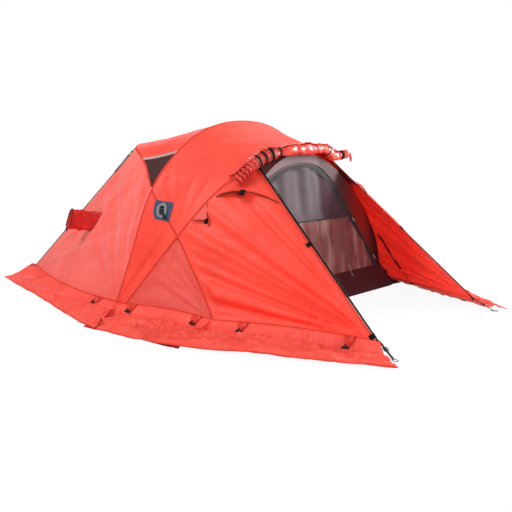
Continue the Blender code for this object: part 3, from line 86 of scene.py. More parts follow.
CLOTH = 0.0012
TOUCH = 0.0003
HEM_HEIGHT = 0.045
FRONT_PEG = {NEAR: (1.500, -0.700, 0.062), FAR: (1.440, 0.520, 0.062)}
REAR_PEG = (-1.800, 0.660, 0.062)
HEM_BOW = (0.018, 0.010)
REAR_HEM_BOW = (-0.050, -0.018)
REAR_DOOR_SAG = 0.020
RIDGE_SAG = 0.012
FRONT_BULGE = {NEAR: 0.026, FAR: 0.052}
REAR_BULGE = -0.015
SIDE_BULGE = -0.008
POINT_TRIM = 0.30
WINDOW_ROWS = 3
ZIP_ROOM = 0.012
COIL_PITCH = 0.0034
ROOF_STEPS = 10
SLIDER_SHARE = {"front": 0.80, "rear": 0.965}

# Inner tent: the tub's corners (x, half width), the leaning front wall and its door

TUB_FRONT = (0.640, 0.885)
TUB_MIDDLE = (-0.210, 0.970)
TUB_REAR = (-1.200, 0.600)
TUB_HEIGHT = 0.160
TUB_SHEET = 0.0015
TUB_LEAN = 0.092
TUB_FRONT_WIDER = 0.045
TUB_GAP = 0.0005
WALL_FOOT_X = 0.587
WALL_LEAN = 0.137
WALL_COLLAR = 0.012
WALL_COLLAR_AT_TOP = 0.042
DOOR_RADIUS = 0.735
DOOR_SPLIT = 0.385
DOOR_LEG_TURN = math.radians(37.5)
DOOR_LEG_REACH = 0.600
DOOR_SHOULDER = 16.0
DOOR_SLIDERS = (("low", -0.340), ("high", 0.026))
DOOR_SLIDER_BESIDE = 0.0095
DOOR_PULL = ((0.572, 0.385, 0.205), (0.587, 0.388, 0.165), (0.607, 0.392, 0.118))
INNER_DROP = 0.060
CANOPY_WAIST = 0.024
CANOPY_TOP_X = -0.800
CANOPY_REAR = ((-0.710, 0.600, 0.580), (-0.650, 0.480, 0.870), (-0.760, 0.200, 0.962),
               (CANOPY_TOP_X, 0.0, 0.970))

# Skirts: their outer corners (x, half width) from the rear, and how they fall

SKIRT_REAR_X = -2.000
SKIRT_CORNERS = ((-1.760, 0.960), (-0.030, 1.380), (0.700, 1.310))
SKIRT_TIP = {NEAR: (1.700, 0.860), FAR: (1.610, 0.620)}
FLAP_ROWS = 40
FLAP_OUT = 0.018
SKIRT_DROP = 0.085
PEG_DROP = 0.16

# Vents

HOOD_START = 0.51
HOOD_END = 0.955
HOOD_DROP = 0.232
HOOD_ROOT = 0.985
HOOD_ROOT_DROP = 0.016
HOOD_RISE = 0.034
HOOD_CURVE = 1.15
HOOD_SEAT = {NEAR: 0.0024, FAR: 0.0030}
SNORKEL_AT = (0.66, 0.50)
SNORKEL_HALF_WIDTH = 0.050
SNORKEL_HALF_HEIGHT = 0.104 * 1.12
SNORKEL_LENGTH = 0.190
SNORKEL_RAKE = 0.40
SNORKEL_AIM = (-0.80, -0.58, 0.10)

# Rolled door: ties and bands as a name, a share of its length, a half width and a node, and
# pinches as a share, a width and a depth

ROLL_RADIUS = 0.040
ROLL_STANDOFF = 0.0006
ROLL_TURNS = 4
ROLL_SHEET = 0.0024
ROLL_CORE = 0.006
ROLL_PLEAT = 0.026
ROLL_RUN = 1.13
ROLL_BANDS = (("first", 0.165, 0.010, None), ("second", 0.225, 0.009, None), ("third", 0.285, 0.010, None),
              ("near", 0.352, 0.006, "roll_tie_near"), ("far", 0.770, 0.007, "roll_tie_far"),
              ("end", 0.950, 0.013, None))
ROLL_PINCHES = ((0.165, 0.018, 0.20), (0.225, 0.018, 0.20), (0.285, 0.018, 0.20), (0.352, 0.022, 0.55),
                (0.770, 0.014, 0.18), (0.950, 0.018, 0.40))

# Guylines and small parts: a toggle is a hem and a share of its length, and the gusset and the
# storm strap are places (u, v) on a front panel

PATCH_SIZE = 0.120
PATCH_PLACE = 0.450
PATCH_SEAT = {NEAR: 0.0014, FAR: 0.0023}
PATCH_TURN = math.radians(8.0)
PATCH_LIFT = 0.0012
GUY_CORD_D = 0.0025
GUY_LOOPS = 5
GUY_LOOP_LENGTH = 0.092
GUY_LOOP_WIDTH = 0.066
GUY_LOOP_STEP = 0.0036
GUY_LOOP_SQUARENESS = 1.6
HANK_STANDOFF = 0.0095
STRAP_START = 0.0016
STRAP_LENGTH = 0.110
TOGGLES = (("rear", 0.12), ("rear", 1.0), ("side", 0.10), ("side", 0.84), ("front", 0.21), ("front", 0.85))
GUSSET = ((0.414, 0.985), (0.205, 0.985), (0.329, 0.881))
STORM_STRAP = ((0.386, 0.50), (0.371, 0.417), (0.357, 0.333), (0.343, 0.238), (0.350, 0.145))
STORM_END = ((0.800, 0.735, 0.135), (0.850, 0.700, 0.105), (0.906, 0.665, 0.074))
STORM_FACE = (0.7, -0.7, 0.1)
TUB_CORNER = ((0.635, 0.850, 0.004), (0.580, 0.815, 0.128), (0.650, 0.972, 0.004), (0.622, 0.950, 0.062))


# Curves


def unit(vectors):
    """Vectors scaled to a length of one."""
    vectors = np.asarray(vectors, float)
    return vectors / np.maximum(np.linalg.norm(vectors, axis=-1, keepdims=True), 1e-12)


def mirrored(points, side):
    """Points of the far side, or with side NEAR their mirror image."""
    return np.asarray(points, float) * (1.0, side, 1.0)


def outward(points):
    """Outward direction of the dome: the normal of an ellipsoid that it resembles."""
    return unit((np.asarray(points, float) - DOME_CENTRE) / np.square(DOME_HALF_AXES))


def run_of(path):
    """Running length along a path."""
    return np.append(0.0, np.cumsum(np.linalg.norm(np.diff(path, axis=0), axis=1)))


def cubic_through(points):
    """Natural cubic spline through points, as its knots, which are the lengths between
    the points, and a function of them: straight blends plus cubic terms of the bends,
    which solve the spline's tridiagonal system."""
    points = np.asarray(points, float)
    knots = run_of(points)
    h = np.diff(knots)
    system, right = np.eye(len(points)), np.zeros(points.shape)
    for i in range(1, len(h)):
        system[i, i - 1:i + 2] = h[i - 1], 2.0 * (h[i - 1] + h[i]), h[i]
        right[i] = 6.0 * ((points[i + 1] - points[i]) / h[i] - (points[i] - points[i - 1]) / h[i - 1])
    bend = np.linalg.solve(system, right)

    def at(places):
        i = np.clip(np.searchsorted(knots, places, side="right") - 1, 0, len(h) - 1)
        parts = np.stack([(knots[i + 1] - places) / h[i], (places - knots[i]) / h[i], h[i] ** 2 / 6.0])
        a, b, square = parts[..., None]
        curved = (a ** 3 - a) * bend[i] + (b ** 3 - b) * bend[i + 1]
        return a * points[i] + b * points[i + 1] + curved * square

    return knots, at


class Arch:
    """One pole: a smooth curve through its far half's points and their mirror image."""

    def __init__(self, half):
        self.knots, self.at = cubic_through([*half, *mirrored(half[-2::-1], NEAR)])

    def stretches(self, height, *stops):
        """Stretches of the far half from a height up. A stop is a knot's number and how
        many steps lead to it."""
        low = np.linspace(self.knots[0], self.knots[2], 400)
        start = np.interp(height, self.at(low)[:, 2], low)
        parts = []
        for knot, steps in stops:
            parts.append(self.at(np.linspace(start, self.knots[knot], steps + 1)))
            start = self.knots[knot]
        return parts


def in_plane(plane, half):
    """Points of an arch from its places (y, z) in a leaning plane."""
    return [(plane[0] + plane[1] * z, y, z) for y, z in half]


HOOP = Arch(in_plane(HOOP_PLANE, HOOP_HALF))
BROW = Arch(in_plane(BROW_PLANE, BROW_HALF))
LONG = Arch([*LONG_FRONT, *in_plane(BROW_PLANE, [CROSS_LOWER]), *in_plane(HOOP_PLANE, [CROSS_UPPER]),
             *LONG_REAR])
HOOP_LOW, HOOP_UP = HOOP.stretches(HEM_HEIGHT, (2, 6), (5, 9))
BROW_LOW, BROW_TO_ZIP, BROW_TO_TOP = BROW.stretches(HEM_HEIGHT, (1, 6), (4, 5), (5, 4))
LONG_LOW, LONG_BETWEEN, LONG_TO_SHOULDER, LONG_TO_TOP = LONG.stretches(
    HEM_HEIGHT, (3, 6), (4, 4), (6, 5), (8, 4))


def straight(start, end, steps):
    """Evenly spread points on a straight line."""
    return np.linspace(np.asarray(start, float), np.asarray(end, float), steps + 1)


def bowed(start, end, steps, inward, lift):
    """A hem between two anchors: a straight line drawn in and up towards its middle."""
    line = straight(start, end, steps)
    share = np.linspace(0.0, 1.0, steps + 1)[:, None]
    direction = unit(np.cross(line[-1] - line[0], (0.0, 0.0, 1.0)))
    direction = direction * -np.sign(direction @ outward(line[len(line) // 2]))
    return line + 4.0 * share * (1.0 - share) * (direction * inward + (0.0, 0.0, lift))


def path_frames(path, reference):
    """Two cross directions along a path, the first nearest the reference."""
    tangents = unit(np.gradient(path, axis=0))
    first = unit(reference - np.sum(reference * tangents, axis=1, keepdims=True) * tangents)
    return first, np.cross(tangents, first)


# Panels between the seams


def patch(bottom, top, left, right, bulge=0.0):
    """Surface held by four edges. Bottom and top run with u, left and right with v.
    It is the sum of the two ruled surfaces less the one through the corners, pushed
    outwards by bulge at its middle."""
    u = np.linspace(0.0, 1.0, len(bottom))[:, None, None]
    v = np.linspace(0.0, 1.0, len(left))[None, :, None]
    surface = ((1.0 - v) * bottom[:, None] + v * top[:, None] + (1.0 - u) * left[None] + u * right[None]
               - (1.0 - u) * (1.0 - v) * bottom[0] - u * (1.0 - v) * bottom[-1]
               - (1.0 - u) * v * top[0] - u * v * top[-1])
    return surface + 16.0 * u * (1.0 - u) * v * (1.0 - v) * bulge * outward(surface)


def cut_point(grid):
    """Trim a patch whose last row is one point, so that it ends in a short edge."""
    grid[:, -1] = grid[:, -1] * (1.0 - POINT_TRIM) + grid[:, -2] * POINT_TRIM
    return grid


def over_the_top(half):
    """A roof panel or an arch whole: its far half and the near one, which meet at the ridge."""
    return np.concatenate([half, mirrored(half[..., -2::-1, :], NEAR)], axis=-2)


def normals_of(grid):
    """Unit normals of a grid of points, turned to the outside of the dome."""
    turned = unit(np.cross(np.gradient(grid, axis=0), np.gradient(grid, axis=1)))
    return turned * (-1.0 if np.sum(turned * outward(grid)) < 0.0 else 1.0)


def zip_room(grid, both=False):
    """Draw a panel back at its last row, or at both, to leave the width of a zip tape."""
    grid = grid.copy()
    for end, inner in ((-1, -2), (0, 1))[:1 + both]:
        grid[end] += unit(grid[inner] - grid[end]) * ZIP_ROOM
    return grid


def sampled(grid, u, v):
    """Points of a surface at places u and v, read between its grid's points."""
    u = np.clip(np.asarray(u, float), 0.0, 1.0) * (grid.shape[0] - 1)
    v = np.clip(np.asarray(v, float), 0.0, 1.0) * (grid.shape[1] - 1)
    i = np.minimum(u.astype(int), grid.shape[0] - 2)
    j = np.minimum(v.astype(int), grid.shape[1] - 2)
    u, v = (u - i)[..., None], (v - j)[..., None]
    return ((1.0 - u) * (1.0 - v) * grid[i, j] + u * (1.0 - v) * grid[i + 1, j]
            + (1.0 - u) * v * grid[i, j + 1] + u * v * grid[i + 1, j + 1])


def side_panels(side):
    """One side's panels and its hems, by name: the gore between hoop and brow arch, the
    side triangle, the front panel up to the porch zip and the rear one up to the rear zip."""
    hoop, brow, long, between, to_zip, shoulder = [
        mirrored(line, side) for line in
        (HOOP_LOW, BROW_LOW, LONG_LOW, LONG_BETWEEN, BROW_TO_ZIP, LONG_TO_SHOULDER)]
    peg, back = np.array(FRONT_PEG[side]), mirrored(REAR_PEG, side)
    hems = {"front": bowed(long[0], peg, 5, *HEM_BOW), "side": bowed(brow[0], long[0], 5, *HEM_BOW),
            "rear": bowed(hoop[0], back, 5, *REAR_HEM_BOW)}
    point = np.repeat(brow[-1:], 6, axis=0)
    grids = {"front": patch(hems["front"], to_zip, long, straight(peg, to_zip[-1], 6), FRONT_BULGE[side]),
             "rear": patch(hems["rear"], shoulder, hoop, straight(back, shoulder[-1], 6), REAR_BULGE),
             "gore": patch(straight(hoop[0], brow[0], 4), between[::-1], hoop, brow),
             "side": cut_point(patch(hems["side"], point, brow, long, SIDE_BULGE))}
    return grids, hems


def ridge(start, end):
    """Seam on the centre line between two arch tops, sagging a little."""
    return bowed(start, end, 4, 0.0, -RIDGE_SAG)


PANELS, HEMS = {}, {}
for side, word in SIDES:
    PANELS[side], HEMS[side] = side_panels(side)
BROW_TOP = np.vstack([BROW_TO_ZIP, BROW_TO_TOP[1:]])
REAR_TOP = np.vstack([LONG_TO_SHOULDER, LONG_TO_TOP[1:]])
ROOF_HALF = patch(LONG_BETWEEN[::-1], ridge(HOOP_UP[-1], BROW_TOP[-1]), HOOP_UP, BROW_TOP)
REAR_HALF = cut_point(patch(ridge(HOOP_UP[-1], REAR_TOP[-1]), np.repeat(HOOP_UP[:1], 5, axis=0),
                            HOOP_UP[::-1], REAR_TOP[::-1]))
DOOR_HEM = bowed(REAR_PEG, mirrored(REAR_PEG, NEAR), 8, REAR_DOOR_SAG, HEM_BOW[1])
DOOR_PANEL = patch(DOOR_HEM, over_the_top(LONG_TO_TOP), straight(REAR_PEG, LONG_TO_TOP[0], 6),
                   mirrored(straight(REAR_PEG, LONG_TO_TOP[0], 6), NEAR), -REAR_DOOR_SAG)


def zip_frame(grid, share, other):
    """Place on a zip, its direction, and the direction away from the cloth there."""
    line = grid[-1]
    spot, run = sampled(grid, 1.0, share), unit(line[-1] - line[0])
    inner = unit(grid[-2] - line)
    across = (inner if other is None else inner - unit(other)).mean(axis=0)
    normal = np.cross(run, unit(across))
    return spot, run, unit(normal * np.sign(normal @ outward(spot)))


# Inner tent's surfaces


def tub_loop(height, wall):
    """Corners of the tub at a height, its sides leaning in, less the wall's thickness."""
    up = height / TUB_HEIGHT
    lean = TUB_LEAN * up + wall
    front = TUB_FRONT[0] + (WALL_FOOT_X - WALL_LEAN * TUB_HEIGHT - TUB_FRONT[0]) * up - wall
    far = [(front, TUB_FRONT[1] - lean, height), (TUB_MIDDLE[0], TUB_MIDDLE[1] - lean, height),
           (TUB_REAR[0] + lean, TUB_REAR[1] - lean, height)]
    return np.concatenate([far, mirrored(far[::-1], NEAR)])


WALL_UP = unit((-WALL_LEAN, 0.0, 1.0))
WALL_BASE = np.array([WALL_FOOT_X - WALL_LEAN * (TUB_HEIGHT + TUB_GAP), 0.0, TUB_HEIGHT + TUB_GAP])
WALL_NORMAL = unit((1.0, 0.0, WALL_LEAN))
HALF_TURN = np.linspace(0.0, math.pi, 181)
TUB_TOP = tub_loop(TUB_HEIGHT, 0.0) + (0.0, 0.0, TUB_GAP)


def wall_point(y, s):
    """Point of the leaning front wall, y across and s up its slope from the door's base."""
    y, s = np.asarray(y, float)[..., None], np.asarray(s, float)[..., None]
    return WALL_BASE + y * (0.0, 1.0, 0.0) + s * WALL_UP


def on_wall(angle, radius):
    """Point of the front wall at an angle and a radius round the middle of the door's base."""
    return wall_point(radius * np.cos(angle), radius * np.sin(angle))


def door_radius(angle):
    """Radius of the door's zip: a circle, cut on its far side by a straight leg, with a
    soft shoulder between them. The inverses of both radii are joined as a power mean."""
    leg = np.clip(np.cos(angle - DOOR_LEG_TURN), 0.0, None) / DOOR_LEG_REACH
    return (DOOR_RADIUS ** -DOOR_SHOULDER + leg ** DOOR_SHOULDER) ** (-1.0 / DOOR_SHOULDER)


def wall_radius(angle):
    """Radius of the front wall: the door's circle and a rim, wider at foot and top."""
    return DOOR_RADIUS + 0.014 + 0.040 * np.abs(np.cos(angle)) ** 6 + 0.022 * np.sin(angle) ** 6


def wall_grid():
    """Front wall from just beside the door's curve to its outline and a collar, which
    reaches up towards the roof, widest at the top."""
    angle = HALF_TURN[:, None]
    collar = (WALL_COLLAR + WALL_COLLAR_AT_TOP * np.sin(angle) ** 6) * ramp(np.sin(angle), 0.0, 0.2)
    share = np.linspace(0.0, 1.0, 9)
    inner, outer = door_radius(angle) + 0.002, wall_radius(angle) + collar
    return on_wall(angle, inner * (1.0 - share) + outer * share)


def arc_line(beside=0.0):
    """Points beside the inner door's curve, and the directions out of it."""
    line = on_wall(HALF_TURN, door_radius(HALF_TURN))
    outer = unit(np.cross(unit(np.gradient(line, axis=0)), WALL_NORMAL))
    return line + outer * beside, outer


def door_rows(s):
    """Door from its near to its far edge, at heights up its slope."""
    angle = np.linspace(0.0, math.pi / 2.0, 17)
    near, far = [np.interp(s, reach * np.sin(turn), reach * np.cos(turn)) for turn, reach in
                 ((turn, door_radius(turn) - 2.0 * TOUCH) for turn in (math.pi - angle, angle))]
    y = straight(near, far, 8)
    return wall_point(y, np.broadcast_to(s, y.shape))


def door_leg(place, beside=0.0):
    """Point of the door's straight leg, from its middle up it and beside it outwards."""
    out = DOOR_LEG_REACH + beside
    return wall_point(out * math.cos(DOOR_LEG_TURN) - place * math.sin(DOOR_LEG_TURN),
                      out * math.sin(DOOR_LEG_TURN) + place * math.cos(DOOR_LEG_TURN))


def canopy_rear_half():
    """Far half of the inner tent's rear edge, under the top of the long pole."""
    share = (TUB_MIDDLE[0] - CANOPY_TOP_X) / (TUB_MIDDLE[0] - TUB_TOP[2][0])
    foot = TUB_TOP[1] + (TUB_TOP[2] - TUB_TOP[1]) * share
    knots, at = cubic_through([foot, *CANOPY_REAR])
    return at(np.linspace(knots[0], knots[-1], 9))


def canopy_grid():
    """Inner tent's roof and sides in one: two stretches between three arches, the first
    drawn in at its waist."""
    angle = np.linspace(0.0, math.pi / 2.0, 9)
    front = on_wall(angle, wall_radius(angle)) - (CLOTH + TOUCH, 0.0, 0.0)
    hoop = HOOP.stretches(TUB_HEIGHT, (5, 8))[0]
    hoop = hoop - outward(hoop) * INNER_DROP
    hoop[0] = TUB_TOP[1]
    waisted, plain = [
        patch(straight(first[0], second[0], 4), straight(first[-1], second[-1], 4), first, second, -waist)
        for first, second, waist in ((front, hoop, CANOPY_WAIST), (hoop, canopy_rear_half(), 0.0))]
    return over_the_top(np.concatenate([waisted, plain[1:]]))


def inner_rear_grid():
    """Rear wall of the inner tent, from its rear arch down to the tub."""
    arch = over_the_top(canopy_rear_half()) - (CLOTH + 0.0007, 0.0, 0.0)
    corner = TUB_TOP[2]
    low = over_the_top(np.vstack([straight(arch[0], corner, 4), straight(corner, corner * (1, 0, 1), 4)[1:]]))
    wall = straight(low, arch, 6).transpose(1, 0, 2)
    for end, inner in ((0, 1), (-1, -2)):
        wall[end] = wall[end] * 0.7 + wall[inner] * 0.3
    return wall


# Rolled door, patch and hank


def roll_line():
    """Curve of the roll: over the near hood, before the brow arch, its far end standing out."""
    top, zip_top, between = BROW_TO_TOP[-1], BROW_TO_TOP[0], BROW_TO_TOP[2]
    stand = ROLL_RADIUS + ROLL_STANDOFF
    stations = (
        (top + (-0.040, -0.600, -0.184), (0.0, 0.0, 0.0)), (top + (0.004, -0.490, -0.098), (0.0, 0.0, 0.0)),
        (mirrored(zip_top, NEAR), (1.08, 0.0, 0.45)), (mirrored(between, NEAR), (1.08, 0.0, 0.15)),
        (top, (1.08, 0.0, -0.05)), (between, (1.12, 0.0, 0.25)),
        (zip_top + (0.0, -0.070, 0.0), (1.45, 0.0, 0.80)), (zip_top + (0.0, 0.060, 0.0), (2.00, 0.0, 1.10)))
    return cubic_through([spot + np.array(away) * stand for spot, away in stations])


ROLL_KNOTS, ROLL_AT = roll_line()


def patch_frame(side):
    """Middle of the patch on its seam, and the directions across, up and away from it."""
    gore, roof = PANELS[side]["gore"], mirrored(ROOF_HALF, side)
    u = np.linspace(-0.5, 0.5, 4) * PATCH_SIZE / np.linalg.norm(gore[-1, -1] - gore[0, -1]) + PATCH_PLACE
    down = PATCH_SIZE * 0.5 / np.linalg.norm(gore[2, 0] - gore[2, -1])
    up = PATCH_SIZE * 0.5 / (np.linalg.norm(roof[2, 1] - roof[2, 0]) * (roof.shape[1] - 1))
    level = np.ones(4)
    rows = [sampled(gore, u, level - lower) for lower in (down, down / 2.0, 0.0)]
    rows += [sampled(roof, u, level * higher) for higher in (up / 2.0, up)]
    grid = np.stack(rows, axis=1)
    normal = unit(normals_of(grid).reshape(-1, 3).mean(axis=0))
    up = unit(np.cross(np.cross(normal, (0.0, 0.0, 1.0)), normal))
    return grid[:, 2].mean(axis=0), np.cross(normal, up), up, normal


def hank_path(side):
    """Guyline wound into a flat hank: a racetrack spiral that grows by a step a loop."""
    centre, across, up, normal = patch_frame(side)
    turn = np.linspace(0.0, 2.0 * math.pi * GUY_LOOPS, 24 * GUY_LOOPS + 1)[:, None]
    half = GUY_LOOP_WIDTH / 2.0 + GUY_LOOP_STEP * (turn / (2.0 * math.pi) - GUY_LOOPS + 0.5)
    squared = np.clip(GUY_LOOP_SQUARENESS * np.cos(turn), -1.0, 1.0)
    side_length = (GUY_LOOP_LENGTH - GUY_LOOP_WIDTH) / 2.0 * squared
    return (centre + normal * HANK_STANDOFF + across * half * np.sin(turn)
            + up * (half * np.cos(turn) + side_length))


# Finer surfaces


def spline_matrix(count, steps):
    """Matrix from values at whole steps to a natural cubic spline's at finer steps:
    the straight blend of two values plus the cubic terms of their second slopes."""
    left, right = np.eye(count), np.zeros((count, count))
    for i in range(1, count - 1):
        left[i, i - 1:i + 2] = (1.0, 4.0, 1.0)
        right[i, i - 1:i + 2] = (6.0, -12.0, 6.0)
    place = np.linspace(0.0, count - 1.0, (count - 1) * steps + 1)
    i = np.minimum(place.astype(int), count - 2)
    f = place - i
    rows = np.arange(len(place))
    value, bend = np.zeros((2, len(place), count))
    value[rows, i], value[rows, i + 1] = 1.0 - f, f
    bend[rows, i], bend[rows, i + 1] = ((1.0 - f) ** 3 - 1.0 + f) / 6.0, (f ** 3 - f) / 6.0
    return value + bend @ np.linalg.solve(left, right)


def finer(grid, along=14, across=None):
    """Row or grid of points made finer by cubic splines through its own points."""
    grid = np.tensordot(spline_matrix(len(grid), along), grid, 1)
    if grid.ndim == 2:
        return grid
    return np.einsum("kj,ijc->ikc", spline_matrix(grid.shape[1], across or along), grid)


def metres(grid):
    """Running lengths in metres along both sides of a grid, averaged across it."""
    return [np.append(0.0, np.cumsum(np.linalg.norm(np.diff(grid, axis=axis), axis=2).mean(axis=1 - axis)))
            for axis in (0, 1)]


def place_in(grid):
    """Lengths across and along a grid at each of its points."""
    return np.meshgrid(*metres(grid), indexing="ij")


def cut_size(grid):
    """Greatest width and length of a grid's cloth, and the area of its cells."""
    lengths = [np.linalg.norm(np.diff(grid, axis=axis), axis=2).sum(axis=axis) for axis in (0, 1)]
    across, along = [float(length.max()) for length in lengths]
    cells = np.cross(grid[1:, 1:] - grid[:-1, :-1], grid[1:, :-1] - grid[:-1, 1:])
    return (across, along), min(float(np.linalg.norm(cells, axis=2).sum() / 2.0), across * along)


def border(grid, edge):
    """Edge of a grid, and the directions from it into the cloth. The edge is u or v,
    for the first or second index, and 0 or 1, for its start or end."""
    turned = grid if edge[0] == "u" else grid.transpose(1, 0, 2)
    turned = turned if edge[1] == "0" else turned[::-1]
    return turned[0], unit(turned[1] - turned[0])


# Relief of stretched cloth


def ramp(values, low, high):
    """Smooth change from nought to one between two values."""
    share = np.clip((values - low) / (high - low), 0.0, 1.0)
    return share * share * (3.0 - 2.0 * share)


def bell(values, width):
    """One at nought, and soon less past a width: the exponential of the square."""
    return np.exp(-(values / width) ** 2)


def swell(x, y, size, seed):
    """Smooth uneven surface, mostly between -1 and 1: a sum of nine cosine waves that run
    in many directions, with wavelengths near a size."""
    rng = np.random.default_rng(seed)
    waves = zip(rng.uniform(0.0, math.pi, 9), size * rng.uniform(0.7, 1.5, 9),
                rng.uniform(0.0, 2.0 * math.pi, 9))
    total = sum(np.cos(2.0 * math.pi / length * (x * math.cos(angle) + y * math.sin(angle)) + phase)
                for angle, length, phase in waves)
    return total / math.sqrt(4.5) / 1.6


def creases(x, y, size, seed):
    """Sharp ridges between soft facets: one less a swell's size, to a power."""
    bend = swell(x, y, size * 2.2, seed + 1) * size * 0.35
    return (1.0 - np.abs(np.clip(swell(x + bend, y - bend, size, seed), -1.0, 1.0))) ** 3


def fan(points, corner, inside, reach, folds, phase, spread=0.9):
    """Tension folds that radiate from a corner: waves of the angle round it, which
    grow up to the reach and then fade."""
    corner = np.asarray(corner, float)
    towards = unit(np.asarray(inside, float) - corner)
    beside = unit(np.cross(outward(corner + towards * reach), towards))
    place = points - corner
    r = np.linalg.norm(place, axis=-1) / reach
    angle = np.arctan2(place @ beside, place @ towards)
    wave = (np.sin(folds * angle + phase) + 0.6 * np.sin(folds * 1.73 * angle + 1.7 * phase)
            + 0.35 * np.sin(folds * 3.1 * angle + 0.6 * phase))
    return wave * r * np.exp(1.0 - r) * np.exp(-(angle / spread) ** 4)


def from_edges(grid):
    """Distance of a grid's points from its nearest edge, measured along the grid."""
    across, along = metres(grid)
    return np.minimum(np.minimum(across, across[-1] - across)[:, None], np.minimum(along, along[-1] - along))


def puckers(grid, pitch, depth, reach, seed):
    """Small gathers of sewn edges: waves along each edge that die out inside it."""
    x, y = place_in(grid)
    rng = np.random.default_rng(seed)
    total = 0.0
    for run, off in ((x, y), (x, y[:, -1:] - y), (y, x), (y, x[-1:] - x)):
        p, q = rng.uniform(0.0, 6.28, 2)
        wave = np.sin(2.0 * math.pi * run / pitch + p + 2.0 * np.sin(run / pitch * 1.3 + q))
        uneven = 0.6 + 0.4 * np.sin(run * 9.0 + q)
        total = total + wave * uneven * np.exp(-off / reach) * ramp(off, 0.006, 0.014)
    return total * depth


def tension(grid, seed, fans, swell_depth=0.0022, crease_depth=0.0):
    """Relief of a stretched panel: a soft swell, folds that fan out from its anchors,
    creases, and gathers along its seams. A fan is its corner, the point that it aims
    at, its reach, how many folds, how deep, and how far they spread."""
    x, y = place_in(grid)
    relief = swell_depth * (swell(x, y, 0.42, seed) + 0.35 * swell(x, y, 0.13, seed + 1))
    for number, (corner, aim, reach, folds, depth, *spread) in enumerate(fans):
        relief = relief + depth * fan(grid, corner, aim, reach, folds, seed + 1.3 * number, *spread)
    if crease_depth:
        small = creases(x, y, 0.045, seed + 3)
        relief = relief + crease_depth * (creases(x, y, 0.11, seed + 2) + 0.5 * small)
    return relief * ramp(from_edges(grid), 0.010, 0.075) + puckers(grid, 0.021, 0.0008, 0.016, seed + 4)


def soft(grid, depth, size, seed, rim):
    """Relief of a slack panel: a swell that dies out within a rim."""
    return depth * swell(*place_in(grid), size, seed) * ramp(from_edges(grid), 0.0, rim)


# Meshes

SLOTS = {}


def put_mesh(name, points, faces, finish, uv=None, sharp=40.0, turn=True, slot=None, body="tent",
             replaces=None):
    """Object at the origin from points and faces, with uv in metres. It rides on a body
    and may stand for a node; its slot is looked up but not set."""
    mesh = bpy.data.meshes.new(name)
    mesh.from_pydata(np.asarray(points, float).tolist(), [], [tuple(face) for face in faces])
    if uv is not None:
        corner = np.empty(len(mesh.loops), np.int32)
        mesh.loops.foreach_get("vertex_index", corner)
        mesh.uv_layers.new(name="cloth").data.foreach_set("uv", np.asarray(uv, float)[corner].ravel())
    if turn:
        shaped = bmesh.new()
        shaped.from_mesh(mesh)
        bmesh.ops.recalc_face_normals(shaped, faces=shaped.faces)
        shaped.to_mesh(mesh)
        shaped.free()
    mesh.shade_smooth()
    mesh.set_sharp_from_angle(angle=math.radians(sharp))
    mesh.materials.append(finish)
    piece = bpy.data.objects.new(name, mesh)
    bpy.context.scene.collection.objects.link(piece)
    if body:
        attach(piece, body)
        slot or SLOTS[finish.name]
    if replaces:
        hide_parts(replaces)
    return piece


def sheet_piece(name, grid, relief, finish, thick=0.0008, **rides):
    """Closed sheet of cloth: the grid moved along its normals by the relief, with a
    thickness, two faces and a rim."""
    normals = normals_of(grid)
    shaped = grid + normals * np.broadcast_to(relief, grid.shape[:2])[..., None]
    turned = unit(np.cross(np.gradient(shaped, axis=0), np.gradient(shaped, axis=1)))
    sign = 1.0 if np.sum(turned * normals) > 0.0 else -1.0
    half = turned * sign * thick / 2.0
    rows, columns = grid.shape[:2]
    base = rows * columns
    index = np.arange(base).reshape(rows, columns)
    quads = np.stack([index[:-1, :-1], index[1:, :-1], index[1:, 1:], index[:-1, 1:]], -1).reshape(-1, 4)
    ring = np.concatenate([index[:-1, 0], index[-1, :-1], index[:0:-1, -1], index[0, :0:-1]])
    after = np.roll(ring, -1)
    rim = np.stack([after, ring, ring + base, after + base], -1)
    faces = np.concatenate([quads, quads[:, ::-1] + base, rim])
    faces = faces[:, ::-1] if sign < 0.0 else faces
    uv = np.stack(place_in(grid), -1).reshape(-1, 2)
    points = np.concatenate([(shaped + half).reshape(-1, 3), (shaped - half).reshape(-1, 3)])
    return put_mesh(name, points, faces.tolist(), finish, np.concatenate([uv, uv]), 50.0, False, **rides)


def cloth_piece(name, grid, relief, finish, rests_on=POLES, held="stretched", **rides):
    """Sheet of cloth; the size it was cut to is measured but not used."""
    flat, area = cut_size(grid)
    sheet_piece(name, grid, relief, finish, **rides)


def skin(name, rings, finish, looped=False, sharp=40.0, **rides):
    """Closed skin through rings of points, with flat ends or looped back on itself."""
    count, sides = rings.shape[:2]
    index = np.arange(count * sides).reshape(count, sides)
    low, high = (index, np.roll(index, -1, 0)) if looped else (index[:-1], index[1:])
    faces = np.stack([low, np.roll(low, -1, 1), np.roll(high, -1, 1), high], -1).reshape(-1, 4).tolist()
    if not looped:
        faces += [index[0, ::-1].tolist(), index[-1].tolist()]
    across = np.append(0.0, np.cumsum(np.linalg.norm(np.diff(rings, axis=1), axis=2).mean(axis=0)))
    uv = np.stack(np.meshgrid(run_of(rings.mean(axis=1)), across, indexing="ij"), -1).reshape(-1, 2)
    return put_mesh(name, rings.reshape(-1, 3), faces, finish, uv, sharp, **rides)


def carried(path, reference, profile, scale=1.0):
    """Rings of a flat profile, pairs across and out, carried along a path. The out
    direction is the one nearest the reference."""
    first, second = path_frames(path, np.broadcast_to(np.asarray(reference, float), path.shape))
    profile = np.asarray(profile, float)
    ring = second[:, None] * profile[None, :, :1] + first[:, None] * profile[None, :, 1:]
    return path[:, None] + ring * np.broadcast_to(scale, len(path))[:, None, None]


